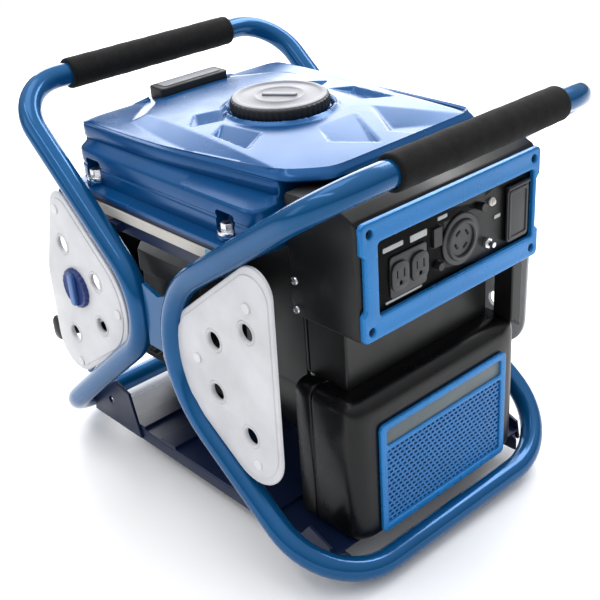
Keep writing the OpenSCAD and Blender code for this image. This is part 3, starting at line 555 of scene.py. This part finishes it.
TANK_CENTRE = Vector((-8.0, 0.0))
CAP = (-7.5, 0.0)
NEAR_EDGE = [(-187, -152), (-177, -163), (-122, -158), (-50, -150), (104, -149)]
FAR_EDGE = [(104, 160), (-50, 156), (-122, 158), (-177, 163), (-187, 152)]
TOP_NEAR = [(-180, -143), (-170, -154), (-118, -150), (-50, -142), (96, -141), (116, -134), (161, -86)]
TOP_FAR = [(158, 120), (128, 149), (98, 152), (-50, 148), (-118, 150), (-170, 154), (-180, 143)]


def mirrored(half):
    return half + [(x, -y) for x, y in reversed(half)]


FLANGE = mirrored([(-187, -160), (-170, -178), (126, -178), (135, -168)])
WALL = mirrored([(-184, -156), (-174, -164), (124, -164), (132, -156)])
UPPER = mirrored(NEAR_EDGE + [(132, -136)])
HOOD = NEAR_EDGE + [(124, -143), (171, -94), (168, 126), (134, 158)] + FAR_EDGE
TOP = TOP_NEAR + TOP_FAR
# The flat part of the top, outside which the shoulders slope down
FLAT_NEAR = ((-121, -102), (163, -126))
FLAT_CORNER = ((-176, -34), (-121, -102))
SHOULDER_SLOPE = 0.3
SHOULDER_FALL = 10.5
SHOULDER_SPAN = 13.0
HOOD_EDGE_Z = 437.0
TANK_STEPS = 360
TOP_EDGE_Z = 448.2
TOP_Z = 451.0
LOWEST_TOP_Z = HOOD_EDGE_Z + 2.4
CROWN_CURVE = 0.00022
# The walls from the flange's underside up to the hood: outline, height and inset
WALL_LEVELS = [
    (FLANGE, 368.2, 8), (FLANGE, 368.2, 0.6), (FLANGE, 369.0, 0), (FLANGE, 373.2, 0),
    (FLANGE, 374.0, 0.8), (FLANGE, 374.2, 5),
    (WALL, 376.0, 0.6), (WALL, 378.5, 0), (WALL, 392, 0), (WALL, 393.5, 1.2), (WALL, 396, 1.2),
    (WALL, 397.5, 0), (WALL, 410, 0), (WALL, 412, 0.8), (WALL, 414, 2.4),
    (UPPER, 420, 1.2), (UPPER, 422.5, 0.2), (UPPER, 434, 0),
    (HOOD, 435.5, 0.8), (HOOD, HOOD_EDGE_Z, 0),
]
# The hood's soft edge, whose corners get rounder: outline, height, inset and sharpness
EDGE_LEVELS = [
    (HOOD, 439.0, 0.3, 44), (HOOD, 441.5, 1.6, 40), (HOOD, 443.6, 3.8, 40), (TOP, 446.6, -4.5, 40),
]
TOP_RINGS = 74
BOLT_X = (-149, 87)
BOLT_Y = 160

# Sunk facets, each with its depth; the first edge is the one it hinges down from
SIDE_FACETS = [
    ([(-66, -76), (-50, -36), (-22, -70), (-38, -104)], 9.0),
    ([(-14, -78), (42, -70), (64, -108), (2, -106)], 9.0),
]
FACETS = SIDE_FACETS + [
    ([(74, 35), (74, -22), (112, -42), (152, -5)], 7.0),
    ([(68, 66), (166, 124), (190, 62), (136, 22)], 11.0),
] + [([(x, -y) for x, y in outline], depth) for outline, depth in SIDE_FACETS]


def half_planes(outline):
    """Each edge's outward angle and distance from the tank's middle."""
    planes = []
    for a, b in zip(outline, outline[1:] + outline[:1]):
        a, b = Vector(a) - TANK_CENTRE, Vector(b) - TANK_CENTRE
        along = b - a
        outward = Vector((along.y, -along.x)).normalized()
        distance = outward.dot(a)
        if distance < 0:
            outward, distance = -outward, -distance
        planes.append((math.atan2(outward.y, outward.x), distance))
    return planes


def tank_ring(outline, z, inset=0.0, sharpness=60):
    """A level of the tank: its outline with corners rounded by a high power mean."""
    planes = half_planes(outline)
    ring = []
    for i in range(TANK_STEPS):
        angle = 2 * math.pi * i / TANK_STEPS
        total = 0.0
        for direction, distance in planes:
            facing = math.cos(angle - direction)
            if facing > 0:
                total += (facing / (distance - inset)) ** sharpness
        radius = total ** (-1 / sharpness)
        ring.append(Vector((TANK_CENTRE.x + radius * math.cos(angle),
                            TANK_CENTRE.y + radius * math.sin(angle), z)))
    return ring


def beyond(point, line):
    """How far a point, brought to the near side, lies outside a line walked from left to right."""
    a, b = Vector(line[0]), Vector(line[1])
    near = Vector((point.x, -abs(point.y)))
    return (near - a).cross((b - a).normalized())


def shoulder_drop(point):
    out = max(beyond(point, FLAT_NEAR), beyond(point, FLAT_CORNER))
    return min(SHOULDER_FALL, SHOULDER_SLOPE * max(0.0, out))


def facet_drop(point):
    """How far the top is sunk below its crown at a point."""
    drop = 0.0
    for outline, depth in FACETS:
        corners = [Vector(p) for p in outline]
        area = sum(a.cross(b) for a, b in zip(corners, corners[1:] + corners[:1]))
        sign = 1 if area > 0 else -1
        inside = []
        for a, b in zip(corners, corners[1:] + corners[:1]):
            along = (b - a).normalized()
            inside.append(sign * along.cross(point - a))
        if min(inside) <= 0:
            continue
        hinge = (corners[1] - corners[0]).normalized()
        reach = max(abs((c - corners[0]).cross(hinge)) for c in corners)
        tilt = depth * inside[0] / reach
        drop = max(drop, min(tilt, 0.9 * min(inside[1:])))
    return drop


def crown(point):
    """The height of the tank's top: a low crown, a ring round the cap, and the sunk facets."""
    ring_r, ring_height, ring_width = 62, 3.2, 3.2
    dish_r, dish_depth = 58, 2.0
    flat = Vector((point.x, point.y))
    out = (flat - Vector(CAP)).length
    height = TOP_Z - CROWN_CURVE * out * out
    height += ring_height * math.exp(-((out - ring_r) / ring_width) ** 2)
    if out < dish_r:
        height -= dish_depth
    return max(LOWEST_TOP_Z, height - max(facet_drop(flat), shoulder_drop(flat)))


def tank_walls():
    """Rings from the flange's underside to the edge of the top, with the shoulders let down."""
    rings = [tank_ring(*level) for level in WALL_LEVELS + EDGE_LEVELS]
    for ring in rings:
        for p in ring:
            if p.z > HOOD_EDGE_Z:
                p.z = HOOD_EDGE_Z + (p.z - HOOD_EDGE_Z) * (1 - shoulder_drop(p.xy) / SHOULDER_SPAN)
    return rings


def tank_top():
    """Ever smaller rings that cover the top at its crown height."""
    middle = TANK_CENTRE.to_3d()
    edge = tank_ring(TOP, 0, -1.5, 40)
    rings = []
    for k in range(TOP_RINGS):
        share = 1 - k / TOP_RINGS
        ring = [middle + (p - middle) * share for p in edge]
        for q in ring:
            q.z = crown(q) if k else min(crown(q), TOP_EDGE_Z)
        rings.append(ring)
    return rings


def carve_tank(tank):
    """Cuts a notch round each tank bolt, past the tank's side, and one for the gauge."""
    half, low, high = 14.5, 374.4, 403.5
    cutters = bmesh.new()
    for x in BOLT_X:
        for near, far in ((-230, -147), (147, 230)):
            box_into(cutters, (x - half, near, low), (x + half, far, high))
    box_into(cutters, (-205, -54, HOOD_EDGE_Z), (-156, 52, 470))
    carve(tank, cutters, corner=4.0)


def make_tank():
    """The tank, and the round pads on its flange that the bolts bear on."""
    bm = bmesh.new()
    bridge_rings(bm, tank_walls() + tank_top())
    tank = from_mesh_code("tank_shell", bm, "tank_blue", replaces=["fuel_tank"], smooth=38)
    carve_tank(tank)
    bosses = bmesh.new()
    profile = [(4.6, 0), (12.9, 0), (12.9, 5.0), (11.9, 6.0), (4.6, 6.0)]
    for x in BOLT_X:
        for y in (-BOLT_Y, BOLT_Y):
            bridge_rings(bosses, place_rings(turned(profile, 40), (x, y, 373.9)), closed_along=True)
    from_mesh_code("tank_bosses", bosses, "tank_blue", smooth=35)


def carve(piece, bm, corner=0.0):
    """Cuts rounded blocks out of a piece, for good."""
    if corner:
        bmesh.ops.bevel(bm, geom=bm.edges[:], offset=corner, segments=3, affect="EDGES", profile=0.5)
    bmesh.ops.scale(bm, vec=(MM, MM, MM), verts=bm.verts)
    mesh = bpy.data.meshes.new("cutter")
    bm.to_mesh(mesh)
    bm.free()
    cutter = bpy.data.objects.new("cutter", mesh)
    bpy.context.scene.collection.objects.link(cutter)
    cut = piece.modifiers.new("cut", "BOOLEAN")
    cut.operation = "DIFFERENCE"
    cut.solver = "EXACT"
    cut.object = cutter
    depsgraph = bpy.context.evaluated_depsgraph_get()
    carved = bpy.data.meshes.new_from_object(piece.evaluated_get(depsgraph))
    piece.modifiers.remove(cut)
    bpy.data.objects.remove(cutter)
    old = piece.data
    piece.data = carved
    bpy.data.meshes.remove(old)
    sharpen(carved, 35)


def sharpen(mesh, angle):
    bm = bmesh.new()
    bm.from_mesh(mesh)
    for face in bm.faces:
        face.smooth = True
    for edge in bm.edges:
        edge.smooth = not (len(edge.link_faces) == 2
                           and edge.calc_face_angle(0.0) > math.radians(angle))
    bm.to_mesh(mesh)
    bm.free()


CAP_Z = 449.8


def make_cap():
    """The fuel cap: a grey top set in a black ribbed skirt, with a bar to grip."""
    place = (CAP[0], CAP[1], CAP_Z)
    sides, ribs = 192, 48
    profile = [(50, 0.4), (54.5, 0.4), (55.6, 1.2), (55.9, 2.5), (55.8, 10.5), (55.0, 12.4),
               (53.2, 13.2), (50, 13.0)]
    rings = turned(profile, sides)
    for ring, (radius, height) in zip(rings, profile):
        if 1.0 < height < 12.5 and radius > 54:
            for i, point in enumerate(ring):
                if i % (sides // ribs) >= 2:
                    point.x *= (radius - 1.0) / radius
                    point.y *= (radius - 1.0) / radius
    bm = bmesh.new()
    bridge_rings(bm, place_rings(rings, place), closed_along=True)
    from_mesh_code("cap_skirt", bm, "black_plastic", "fuel_cap", ["fuel_cap"], smooth=30)
    top = bmesh.new()
    lid = [(30, 5), (53, 8), (53.4, 13.0), (52.6, 14.4), (50, 15.0), (47.5, 14.6), (46.5, 13.6),
           (44, 13.2), (30, 13.8), (28.8, 14.6), (27, 14.9), (25.6, 14.2), (24, 13.6), (0.5, 13.8)]
    bridge_rings(top, place_rings(turned(lid, 96), place))
    from_mesh_code("cap_lid", top, "grey_plastic", "fuel_cap", smooth=38)
    bar = cut_sheet([rounded(rectangle((-20, -4.5), (20, 4.5)), 4.2)], 3.0, 1.2, 3)
    stand_up(bar, (CAP[0], CAP[1], CAP_Z + 14.2), "Z")
    turn = Matrix.Rotation(0.6, 3, "Z")
    bmesh.ops.rotate(bar, cent=(CAP[0], CAP[1], 0), matrix=turn, verts=bar.verts)
    from_mesh_code("cap_bar", bar, "grey_plastic", "fuel_cap")


def make_gauge():
    """The fuel gauge in its notch: a black surround under a grey window."""
    bm = cut_sheet([rounded(rectangle((-187, -51), (-158.5, 49)), 5)], 17.0, 2.0, 3)
    stand_up(bm, (0, 0, 446.5), "Z")
    from_mesh_code("gauge_body", bm, "black_plastic", replaces=["fuel_gauge"])
    window = cut_sheet([rounded(rectangle((-183, -44), (-163, 42)), 4)], 2.0, 0.7, 2)
    stand_up(window, (0, 0, 455.2), "Z")
    from_mesh_code("gauge_window", window, "grey_plastic")


# ------------------------------------------------------------------ alternator shell and grille

SHELL_Y = 134
SHELL_Z = (38, 215)


def shell_ring(x, inset, radius):
    low = (-SHELL_Y + inset, SHELL_Z[0] + inset * 0.4)
    high = (SHELL_Y - inset, SHELL_Z[1] - inset)
    return [Vector((x, p[0], p[1])) for p in rounded(rectangle(low, high), radius, 9)]


def make_shell():
    """The rear shell: a deep rounded cover with a shallow groove and a large soft front edge."""
    back_edge = [(138, 6, 10), (137.2, 4, 11), (137.6, 1.4, 13), (139, 0.3, 14)]
    sides = [(158, 0), (160, 0.4), (160.8, 1.6), (163.4, 1.6), (164.2, 0.4), (166, 0), (207, 0)]
    front_x, front_inset = 209, 0.2
    front_face = [(228.6, 25, 14), (228.8, 28, 13)]
    rings = [shell_ring(*station) for station in back_edge]
    rings += [shell_ring(x, inset, 15) for x, inset in sides]
    for k in range(11):
        turn = math.radians(9 * k)
        x = front_x + 19.2 * math.sin(turn)
        rings.append(shell_ring(x, front_inset + 23 * (1 - math.cos(turn)), 15))
    rings += [shell_ring(*station) for station in front_face]
    bm = bmesh.new()
    bridge_rings(bm, rings)
    from_mesh_code("shell_cover", bm, "black_gloss", replaces=["rear_shell"], smooth=50)


WINDOW_HALF = 94
WINDOW_Z = (54, 149)


def make_grille():
    """The blue grille frame with a plain sunk badge band."""
    outer = rounded(rectangle((-103, 45), (103, 183)), 7)
    window = rounded(rectangle((-WINDOW_HALF, WINDOW_Z[0]), (WINDOW_HALF, WINDOW_Z[1])), 3)
    band = rounded(rectangle((-WINDOW_HALF, 155), (WINDOW_HALF, 175)), 4)
    bm = cut_sheet([outer, window, band], 5.0, 1.5, 3)
    stand_up(bm, (231.4, 0, 0), "X")
    from_mesh_code("grille_frame", bm, "blue_plastic", replaces=["grille"], smooth=40)
    plate = cut_sheet([rounded(rectangle((-95, 154), (95, 176)), 4)], 1.6, 0.4, 1)
    stand_up(plate, (230.6, 0, 0), "X")
    from_mesh_code("badge_band", plate, "badge_grey")


def make_screen():
    """The punched mesh behind the grille's window: long bars, with short ones in brick bond."""
    mesh = bmesh.new()
    pitch_y, pitch_z, bar = 7.0, 5.6, 2.5
    low, high = WINDOW_Z
    rows = round((high - low) / pitch_z)
    for row in range(rows + 1):
        z = low + row * pitch_z
        end = WINDOW_HALF + 0.5
        box_into(mesh, (229.6, -end, z - bar / 2), (231.6, end, z + bar / 2))
        if row == rows:
            break
        y = -WINDOW_HALF + (pitch_y / 2 if row % 2 else 0.0)
        while y < WINDOW_HALF:
            box_into(mesh, (229.8, y - bar / 2, z), (231.4, y + bar / 2, z + pitch_z))
            y += pitch_y
    from_mesh_code("grille_screen", mesh, "mesh_blue", replaces=["grille_mesh"])


# ------------------------------------------------------------------ control box and panel

BOX_HALF = 134
BOX_LOW = 298
BOX_TOP = 422
PANEL_X = 240


def make_control_box():
    """The control box: a folded sheet with a soft edge over the panel and rounded sides."""
    section = [(143, 310), (155, BOX_LOW), (PANEL_X, BOX_LOW), (PANEL_X, BOX_TOP), (222, 430),
               (143, 430)]
    profile = rounded(section, [6, 6, 1.5, 8, 14, 5])
    centre = Vector((191, 364))
    edge = [(BOX_HALF - 2, 0), (BOX_HALF - 0.6, 0.9), (BOX_HALF, 2.4)]
    rings = []
    for y, inset in [(-y, inset) for y, inset in reversed(edge)] + edge:
        ring = []
        for p in profile:
            q = p - centre
            q *= 1 - inset / max(abs(q.x), abs(q.y))
            ring.append(Vector((centre.x + q.x, y, centre.y + q.y)))
        rings.append(ring)
    bm = bmesh.new()
    bridge_rings(bm, rings)
    from_mesh_code("control_case", bm, "black_paint", replaces=["control_box"], smooth=40)


def make_posts():
    """What the box stands on: a strut on the far side, a skirt and a back panel. The wing off the skirt
    is painted shade: a black sheet under the tank that darkens the alternator's near side.
    """
    top = BOX_LOW + 1
    skirt = (-112, -108)
    bm = bmesh.new()
    strut = [(116, 214.5), (120, 214.5), (134, 200.8), (134, top), (116, top)]
    bridge_rings(bm, [[Vector((x, y, z)) for y, z in strut] for x in (203, 229)])
    box_into(bm, (137.5, skirt[0], 215.2), (196, skirt[1], top))
    # The wing: a black sheet put in as painted shade over the gap beside the alternator, under the tank
    box_into(bm, (36.2, skirt[0], 190.2), (137, skirt[1], 361.8))
    box_into(bm, (135.5, skirt[0], 216.5), (143.8, skirt[1], 361.8))
    box_into(bm, (190, -111, 214), (195.8, 113, top))
    from_mesh_code("box_posts", bm, "black_paint", bevel=2.0, segments=3)


def make_bezel():
    """The blue panel surround: bars between four screwed corner tabs."""
    tab, nip = 15, 5
    half, low, high = BOX_HALF, BOX_LOW, BOX_TOP
    corners = [
        (-half, low), (half, low), (half, low + 2 * tab), (half - nip, low + 2 * tab + nip),
        (half - nip, high - 2 * tab - nip), (half, high - 2 * tab), (half, high), (-half, high),
        (-half, high - 2 * tab), (-half + nip, high - 2 * tab - nip),
        (-half + nip, low + 2 * tab + nip), (-half, low + 2 * tab),
    ]
    radii = [6, 6, 3, 3, 3, 3] * 2
    opening = rounded(rectangle((-112, 322), (124, 399)), 4)
    screws = [(side * (half - 11), z) for side in (-1, 1) for z in (low + 11, high - 11)]
    holes = [circle(s, 4.2, 28) for s in screws]
    bm = cut_sheet([rounded(corners, radii, 5), opening, *holes], 7.0, 2.0, 4)
    stand_up(bm, (PANEL_X + 3.5, 0, 0), "X")
    from_mesh_code("bezel_frame", bm, "blue_plastic", replaces=["panel_bezel"], smooth=40)
    heads = bmesh.new()
    socket = [(0.3, 1.0), (1.6, 1.0), (1.9, 2.6), (3.4, 2.8), (4.0, 2.2), (4.0, 0)]
    for y, z in screws:
        bridge_rings(heads, place_rings(turned(socket, 24), (PANEL_X + 0.5, y, z), "X"))
    from_mesh_code("bezel_screws", heads, "black_paint")


def outlet_face(bm, y, z):
    """One outlet of the pair: a rounded face with two slots and an earth hole."""
    face = rounded(rectangle((-12, -15), (12, 15)), 9, 8)
    slots = [rectangle((-5.6, -1), (-4.2, 7)), rectangle((4.2, -2), (5.6, 7)), circle((0, -7), 2.3, 20)]
    sheet = cut_sheet([face, *slots], 3.0, 0.5, 2)
    stand_up(sheet, (PANEL_X + 3.2, y, z), "X")
    join_into(bm, [sheet])


def make_outlet_pair():
    """Two outlets side by side on a raised plate."""
    duplex = cut_sheet([rounded(rectangle((-92, 330), (-40, 374)), 4)], 2.0, 0.6, 2)
    stand_up(duplex, (PANEL_X + 1.1, 0, 0), "X")
    for y in (-80, -52):
        outlet_face(duplex, y, 352)
    from_mesh_code("outlet_pair", duplex, "fitting_grey", replaces=["duplex_outlet"])


LOCKING = (12, 357)


def make_locking_outlet():
    """The round outlet: a stepped face with four curved slots."""
    locking = bmesh.new()
    profile = [(28, 0.2), (28, 1.6), (27, 2.4), (22.5, 2.6), (21.5, 4.6), (20.4, 5.2), (18.6, 5.2),
               (17.4, 4.4), (17, 2.6), (0.5, 2.4)]
    bridge_rings(locking, place_rings(turned(profile, 72), (PANEL_X, *LOCKING), "X"))
    from_mesh_code("locking_outlet_face", locking, "fitting_grey", replaces=["locking_outlet"])
    blades = bmesh.new()
    for k in range(4):
        arc = [math.radians(90 * k + 14 + 8 * j) for j in range(6)]
        outer = [(11.2 * math.cos(t), 11.2 * math.sin(t)) for t in arc]
        inner = [(8.8 * math.cos(t), 8.8 * math.sin(t)) for t in reversed(arc)]
        slot = cut_sheet([outer + inner], 0.6, 0.1, 1)
        stand_up(slot, (PANEL_X + 2.9, *LOCKING), "X")
        join_into(blades, [slot])
    from_mesh_code("locking_outlet_slots", blades, "black_rubber")


# Corners of the panel's plain marks
MARKS = [
    ((-100, 381), (-72, 386)), ((-62, 379), (-38, 386)), ((-22, 388), (-8, 392)),
    ((66, 360), (76, 364)), ((-98, 326), (-46, 328.5)),
]


def make_labels():
    """Plain pale marks where the panel has its lettering."""
    labels = bmesh.new()
    for low, high in MARKS:
        sheet = cut_sheet([rounded(rectangle(low, high), 1)], 0.8, 0.2, 1)
        stand_up(sheet, (PANEL_X + 0.4, 0, 0), "X")
        join_into(labels, [sheet])
    from_mesh_code("plain_labels", labels, "label_grey")


def make_lamp():
    """A small domed lamp in a collar."""
    lamp = bmesh.new()
    bead = [(4.6, 0), (4.6, 1.6), (3.9, 2.2), (3.2, 2.4), (2.9, 3.6), (1.8, 4.6), (0.3, 4.9)]
    bridge_rings(lamp, place_rings(turned(bead, 32), (PANEL_X, 62, 381), "X"))
    from_mesh_code("panel_lamp", lamp, "ceramic")


def make_flap():
    """The cover at the panel's right end, with a moulded rim and its hinge barrel."""
    bm = cut_sheet([rounded(rectangle((84, 327), (119, 387)), 4)], 3.0, 0.9, 3)
    stand_up(bm, (PANEL_X + 2.7, 0, 0), "X")
    outer = rounded(rectangle((86, 329), (117, 385)), 3.4)
    inner = rounded(rectangle((89, 333), (114, 381)), 2.4)
    rim = cut_sheet([outer, inner], 1.6, 0.6, 2)
    stand_up(rim, (PANEL_X + 4.4, 0, 0), "X")
    hinge = bmesh.new()
    barrel = turned([(0.3, 0), (2.2, 0), (2.4, 0.6), (2.4, 34.4), (2.2, 35), (0.3, 35)], 24)
    bridge_rings(hinge, place_rings(barrel, (PANEL_X + 3.5, 84, 388), "Y"))
    join_into(bm, [rim, hinge])
    from_mesh_code("flap_cover", bm, "fitting_grey", "outlet_flap", ["outlet_flap"])


def make_box_label():
    """A plain pale label and two screws on the control box."""
    sheet = cut_sheet([rounded(rectangle((170, -72), (186, -6)), 2)], 0.9, 0.3, 1)
    stand_up(sheet, (0, 0, 430.5), "Z")
    from_mesh_code("box_label", sheet, "label_grey")
    heads = bmesh.new()
    dome = [(4.6, 0), (4.6, 0.8), (3.8, 2.0), (2.2, 2.7), (0.4, 2.9)]
    for z in (305, 337):
        place = (151.5, -BOX_HALF + 0.2, z)
        bridge_rings(heads, place_rings(turned(dome, 28), place, "-Y"))
    from_mesh_code("box_screws", heads, "bolt_steel")


# ------------------------------------------------------------------ trim and handle


def make_trim():
    """The trim strips with their coloured ends, on both tank rails."""
    left, right = -160, 84
    low, high = 351, 363
    cap = 16
    strips, ends = bmesh.new(), bmesh.new()
    for side in (-1, 1):
        sheet = cut_sheet([rounded(rectangle((left, low), (right, high)), 2.5)], 2.4, 0.8, 3)
        stand_up(sheet, (0, -177.2, 0), "-Y")
        for start in (left, right - cap):
            end = cut_sheet([rounded(rectangle((start, low), (start + cap, high)), 2.5)], 0.8, 0.3, 1)
            stand_up(end, (0, -178.2, 0), "-Y")
            if side > 0:
                mirror_across(end)
            join_into(ends, [end])
        if side > 0:
            mirror_across(sheet)
        join_into(strips, [sheet])
    from_mesh_code("trim_strip_pair", strips, "trim_cream", replaces=["trim_strips"])
    from_mesh_code("trim_ends", ends, "trim_cyan")


def make_pull_handle():
    """The recoil handle: a moulded grip with rounded ends and finger ridges."""
    middle_x, middle_z = -256.5, 156
    start, length = -194, 70
    fingers = 4
    stations = 26
    rings = []
    for i in range(stations + 1):
        t = i / stations
        ends = min(1.0, math.sqrt(max(0.0, 1 - (2 * t - 1) ** 8)) + 0.12)
        ridge = 1 - 0.06 * (0.5 - 0.5 * math.cos(2 * math.pi * fingers * t))
        half_x, half_z = 10.9 * ends * ridge, 17.8 * ends * ridge
        ring = rounded(rectangle((-half_x, -half_z), (half_x, half_z)), 0.85 * half_x)
        rings.append([Vector((middle_x + p.x, start + length * t, middle_z + p.y)) for p in ring])
    bm = bmesh.new()
    bridge_rings(bm, rings)
    from_mesh_code("pull_handle", bm, "black_plastic", "recoil_handle", ["recoil_handle"], smooth=50)


# ------------------------------------------------------------------ the CAD pieces that stay

# The base tray, in the dark finish of its slot, is painted shade: a sheet under the machine that darkens
# what is seen through the frame's bottom
# How wide the rounding of each node's edges is
EDGE_WIDTHS = {
    "base_rails": 3.0, "corner_brackets": 1.2, "base_tray": 0.6, "rubber_feet": 2.0,
    "engine_isolators": 1.5, "tank_support_rails": 0.8, "tank_bolts": 0.8, "plate_screws": 1.0,
    "welded_tabs": 1.0, "crankcase": 3.0, "valve_cover": 2.0, "air_filter_box": 2.5, "muffler": 3.0,
    "fan_shroud": 2.5, "recoil_housing": 2.0, "stator": 1.5, "panel_face": 0.6, "rocker_switch": 0.8,
    "left_breaker_button": 0.8, "right_breaker_button": 0.8, "oil_dipstick": 1.0, "carburettor": 1.2,
    "cylinder_barrel": 0.5, "cylinder_head": 0.6, "muffler_shield": 0.5, "ground_stud": 0.5,
    "fuel_tap": 0.8, "alternator_flange": 1.0, "end_bracket": 1.0, "spark_plug": 0.5, "drain_bolt": 0.6,
}
# CAD nodes that wear a shade of their slot's finish
CAD_SHADES = {"plate_screws": "screw_silver"}


def dress_cad_nodes():
    """Gives each CAD node that still shows its material, welded faces and soft edges."""
    slots = {row["node"]: row["material_slot"] for row in frame["record"]["subparts"]}
    for name, node in frame["nodes"].items():
        node.data.materials.clear()
        node.data.materials.append(MATERIALS[CAD_SHADES.get(name, slots[name])])
        if node.hide_render or name not in EDGE_WIDTHS:
            continue
        weld = node.modifiers.new("weld", "WELD")
        weld.merge_threshold = 1e-5
        flat = node.modifiers.new("flat", "DECIMATE")
        flat.decimate_type = "DISSOLVE"
        flat.angle_limit = math.radians(1.5)
        soften(node, EDGE_WIDTHS[name])


# ------------------------------------------------------------------ stage, light and camera


def make_stage():
    bm = bmesh.new()
    bmesh.ops.create_grid(bm, x_segments=1, y_segments=1, size=9.0)
    mesh = bpy.data.meshes.new("floor")
    bm.to_mesh(mesh)
    bm.free()
    floor = bpy.data.objects.new("floor", mesh)
    bpy.context.scene.collection.objects.link(floor)
    finish = Finish("floor_paper", (252, 252, 252), 0.9, specular=0.1)
    mesh.materials.append(finish.tones(0.01, 2).material)


def area_light(name, place, target, size, power, shade=()):
    """A soft box of the given power in watts. It lights everything but the pieces in shade."""
    data = bpy.data.lights.new(name, "AREA")
    data.shape = "RECTANGLE"
    data.size, data.size_y = size
    data.energy = power
    lamp = bpy.data.objects.new(name, data)
    lamp.location = place
    lamp.rotation_euler = (Vector(target) - Vector(place)).to_track_quat("-Z", "Y").to_euler()
    bpy.context.scene.collection.objects.link(lamp)
    if shade:
        flagged = bpy.data.collections.new(name + "_shade")
        lamp.light_linking.receiver_collection = flagged
        for piece in shade:
            flagged.objects.link(piece)
        for member in flagged.collection_objects:
            member.light_linking.link_state = "EXCLUDE"


def make_sky():
    """Even studio light from above that falls away towards the horizon. Where the sky itself is
    in view, it is as pale as the floor."""
    world = bpy.data.worlds.new("studio")
    bpy.context.scene.world = world
    world.use_nodes = True
    nodes, links = world.node_tree.nodes, world.node_tree.links
    background = nodes["Background"]
    background.inputs["Color"].default_value = (0.97, 0.98, 1.0, 1.0)
    direction = nodes.new("ShaderNodeTexCoord")
    split = nodes.new("ShaderNodeSeparateXYZ")
    climb = nodes.new("ShaderNodeMapRange")
    climb.inputs["To Min"].default_value = 0.12
    climb.inputs["To Max"].default_value = 1.5
    links.new(direction.outputs["Generated"], split.inputs["Vector"])
    links.new(split.outputs["Z"], climb.inputs["Value"])
    rays = nodes.new("ShaderNodeLightPath")
    brighter = nodes.new("ShaderNodeMath")
    brighter.operation = "MAXIMUM"
    links.new(climb.outputs["Result"], brighter.inputs[0])
    links.new(rays.outputs["Is Camera Ray"], brighter.inputs[1])
    links.new(brighter.outputs["Value"], background.inputs["Strength"])


def make_lights():
    """The strong light from behind gives the tank's top its shine. It would burn out the pale
    plates that face it, so they are in its shade."""
    make_sky()
    far_plates = [bpy.data.objects[name] for name in ("far_left_plate", "far_right_plate")]
    area_light("overhead", (-0.5, -0.2, 2.0), (0, 0, 0.2), (1.0, 1.0), 7)
    area_light("behind", (-1.7, 1.45, 1.1), (0, 0, 0.42), (2.4, 1.7), 60, far_plates)
    area_light("streak", (-0.2, -1.0, 1.9), (0, 0, 0.3), (1.8, 0.12), 5)
    area_light("left_key", (-1.0, -1.9, 1.3), (0, 0, 0.2), (1.0, 1.0), 4)
    area_light("edge_light", (0.0, 1.42, 1.85), (0.23, 0, 0.35), (1.5, 0.5), 22)
    bpy.context.scene.view_settings.view_transform = "Standard"


# Where the camera stands, and the directions that are right and up in its view
CAMERA_PLACE = (0.8812, -0.7612, 0.8214)
CAMERA_RIGHT = (0.6778, 0.7327, -0.0616)
CAMERA_UP = (-0.3054, 0.3567, 0.8829)
LENS = 65.29


def make_camera():
    data = bpy.data.cameras.new("camera")
    data.sensor_width = 36.0
    data.lens = LENS
    data.clip_start, data.clip_end = 0.01, 50.0
    camera = bpy.data.objects.new("camera", data)
    right = Vector(CAMERA_RIGHT).normalized()
    up = Vector(CAMERA_UP)
    up = (up - up.dot(right) * right).normalized()
    back = right.cross(up)
    turn = Matrix((right, up, back)).transposed()
    camera.matrix_world = Matrix.Translation(CAMERA_PLACE) @ turn.to_4x4()
    bpy.context.scene.collection.objects.link(camera)
    bpy.context.scene.camera = camera


make_camera()
make_loops()
make_grips()
make_plates()
make_dial()
make_tank()
make_cap()
make_gauge()
make_shell()
make_grille()
make_screen()
make_control_box()
make_posts()
make_bezel()
make_outlet_pair()
make_locking_outlet()
make_labels()
make_lamp()
make_flap()
make_box_label()
make_trim()
make_pull_handle()
dress_cad_nodes()
make_stage()
make_lights()
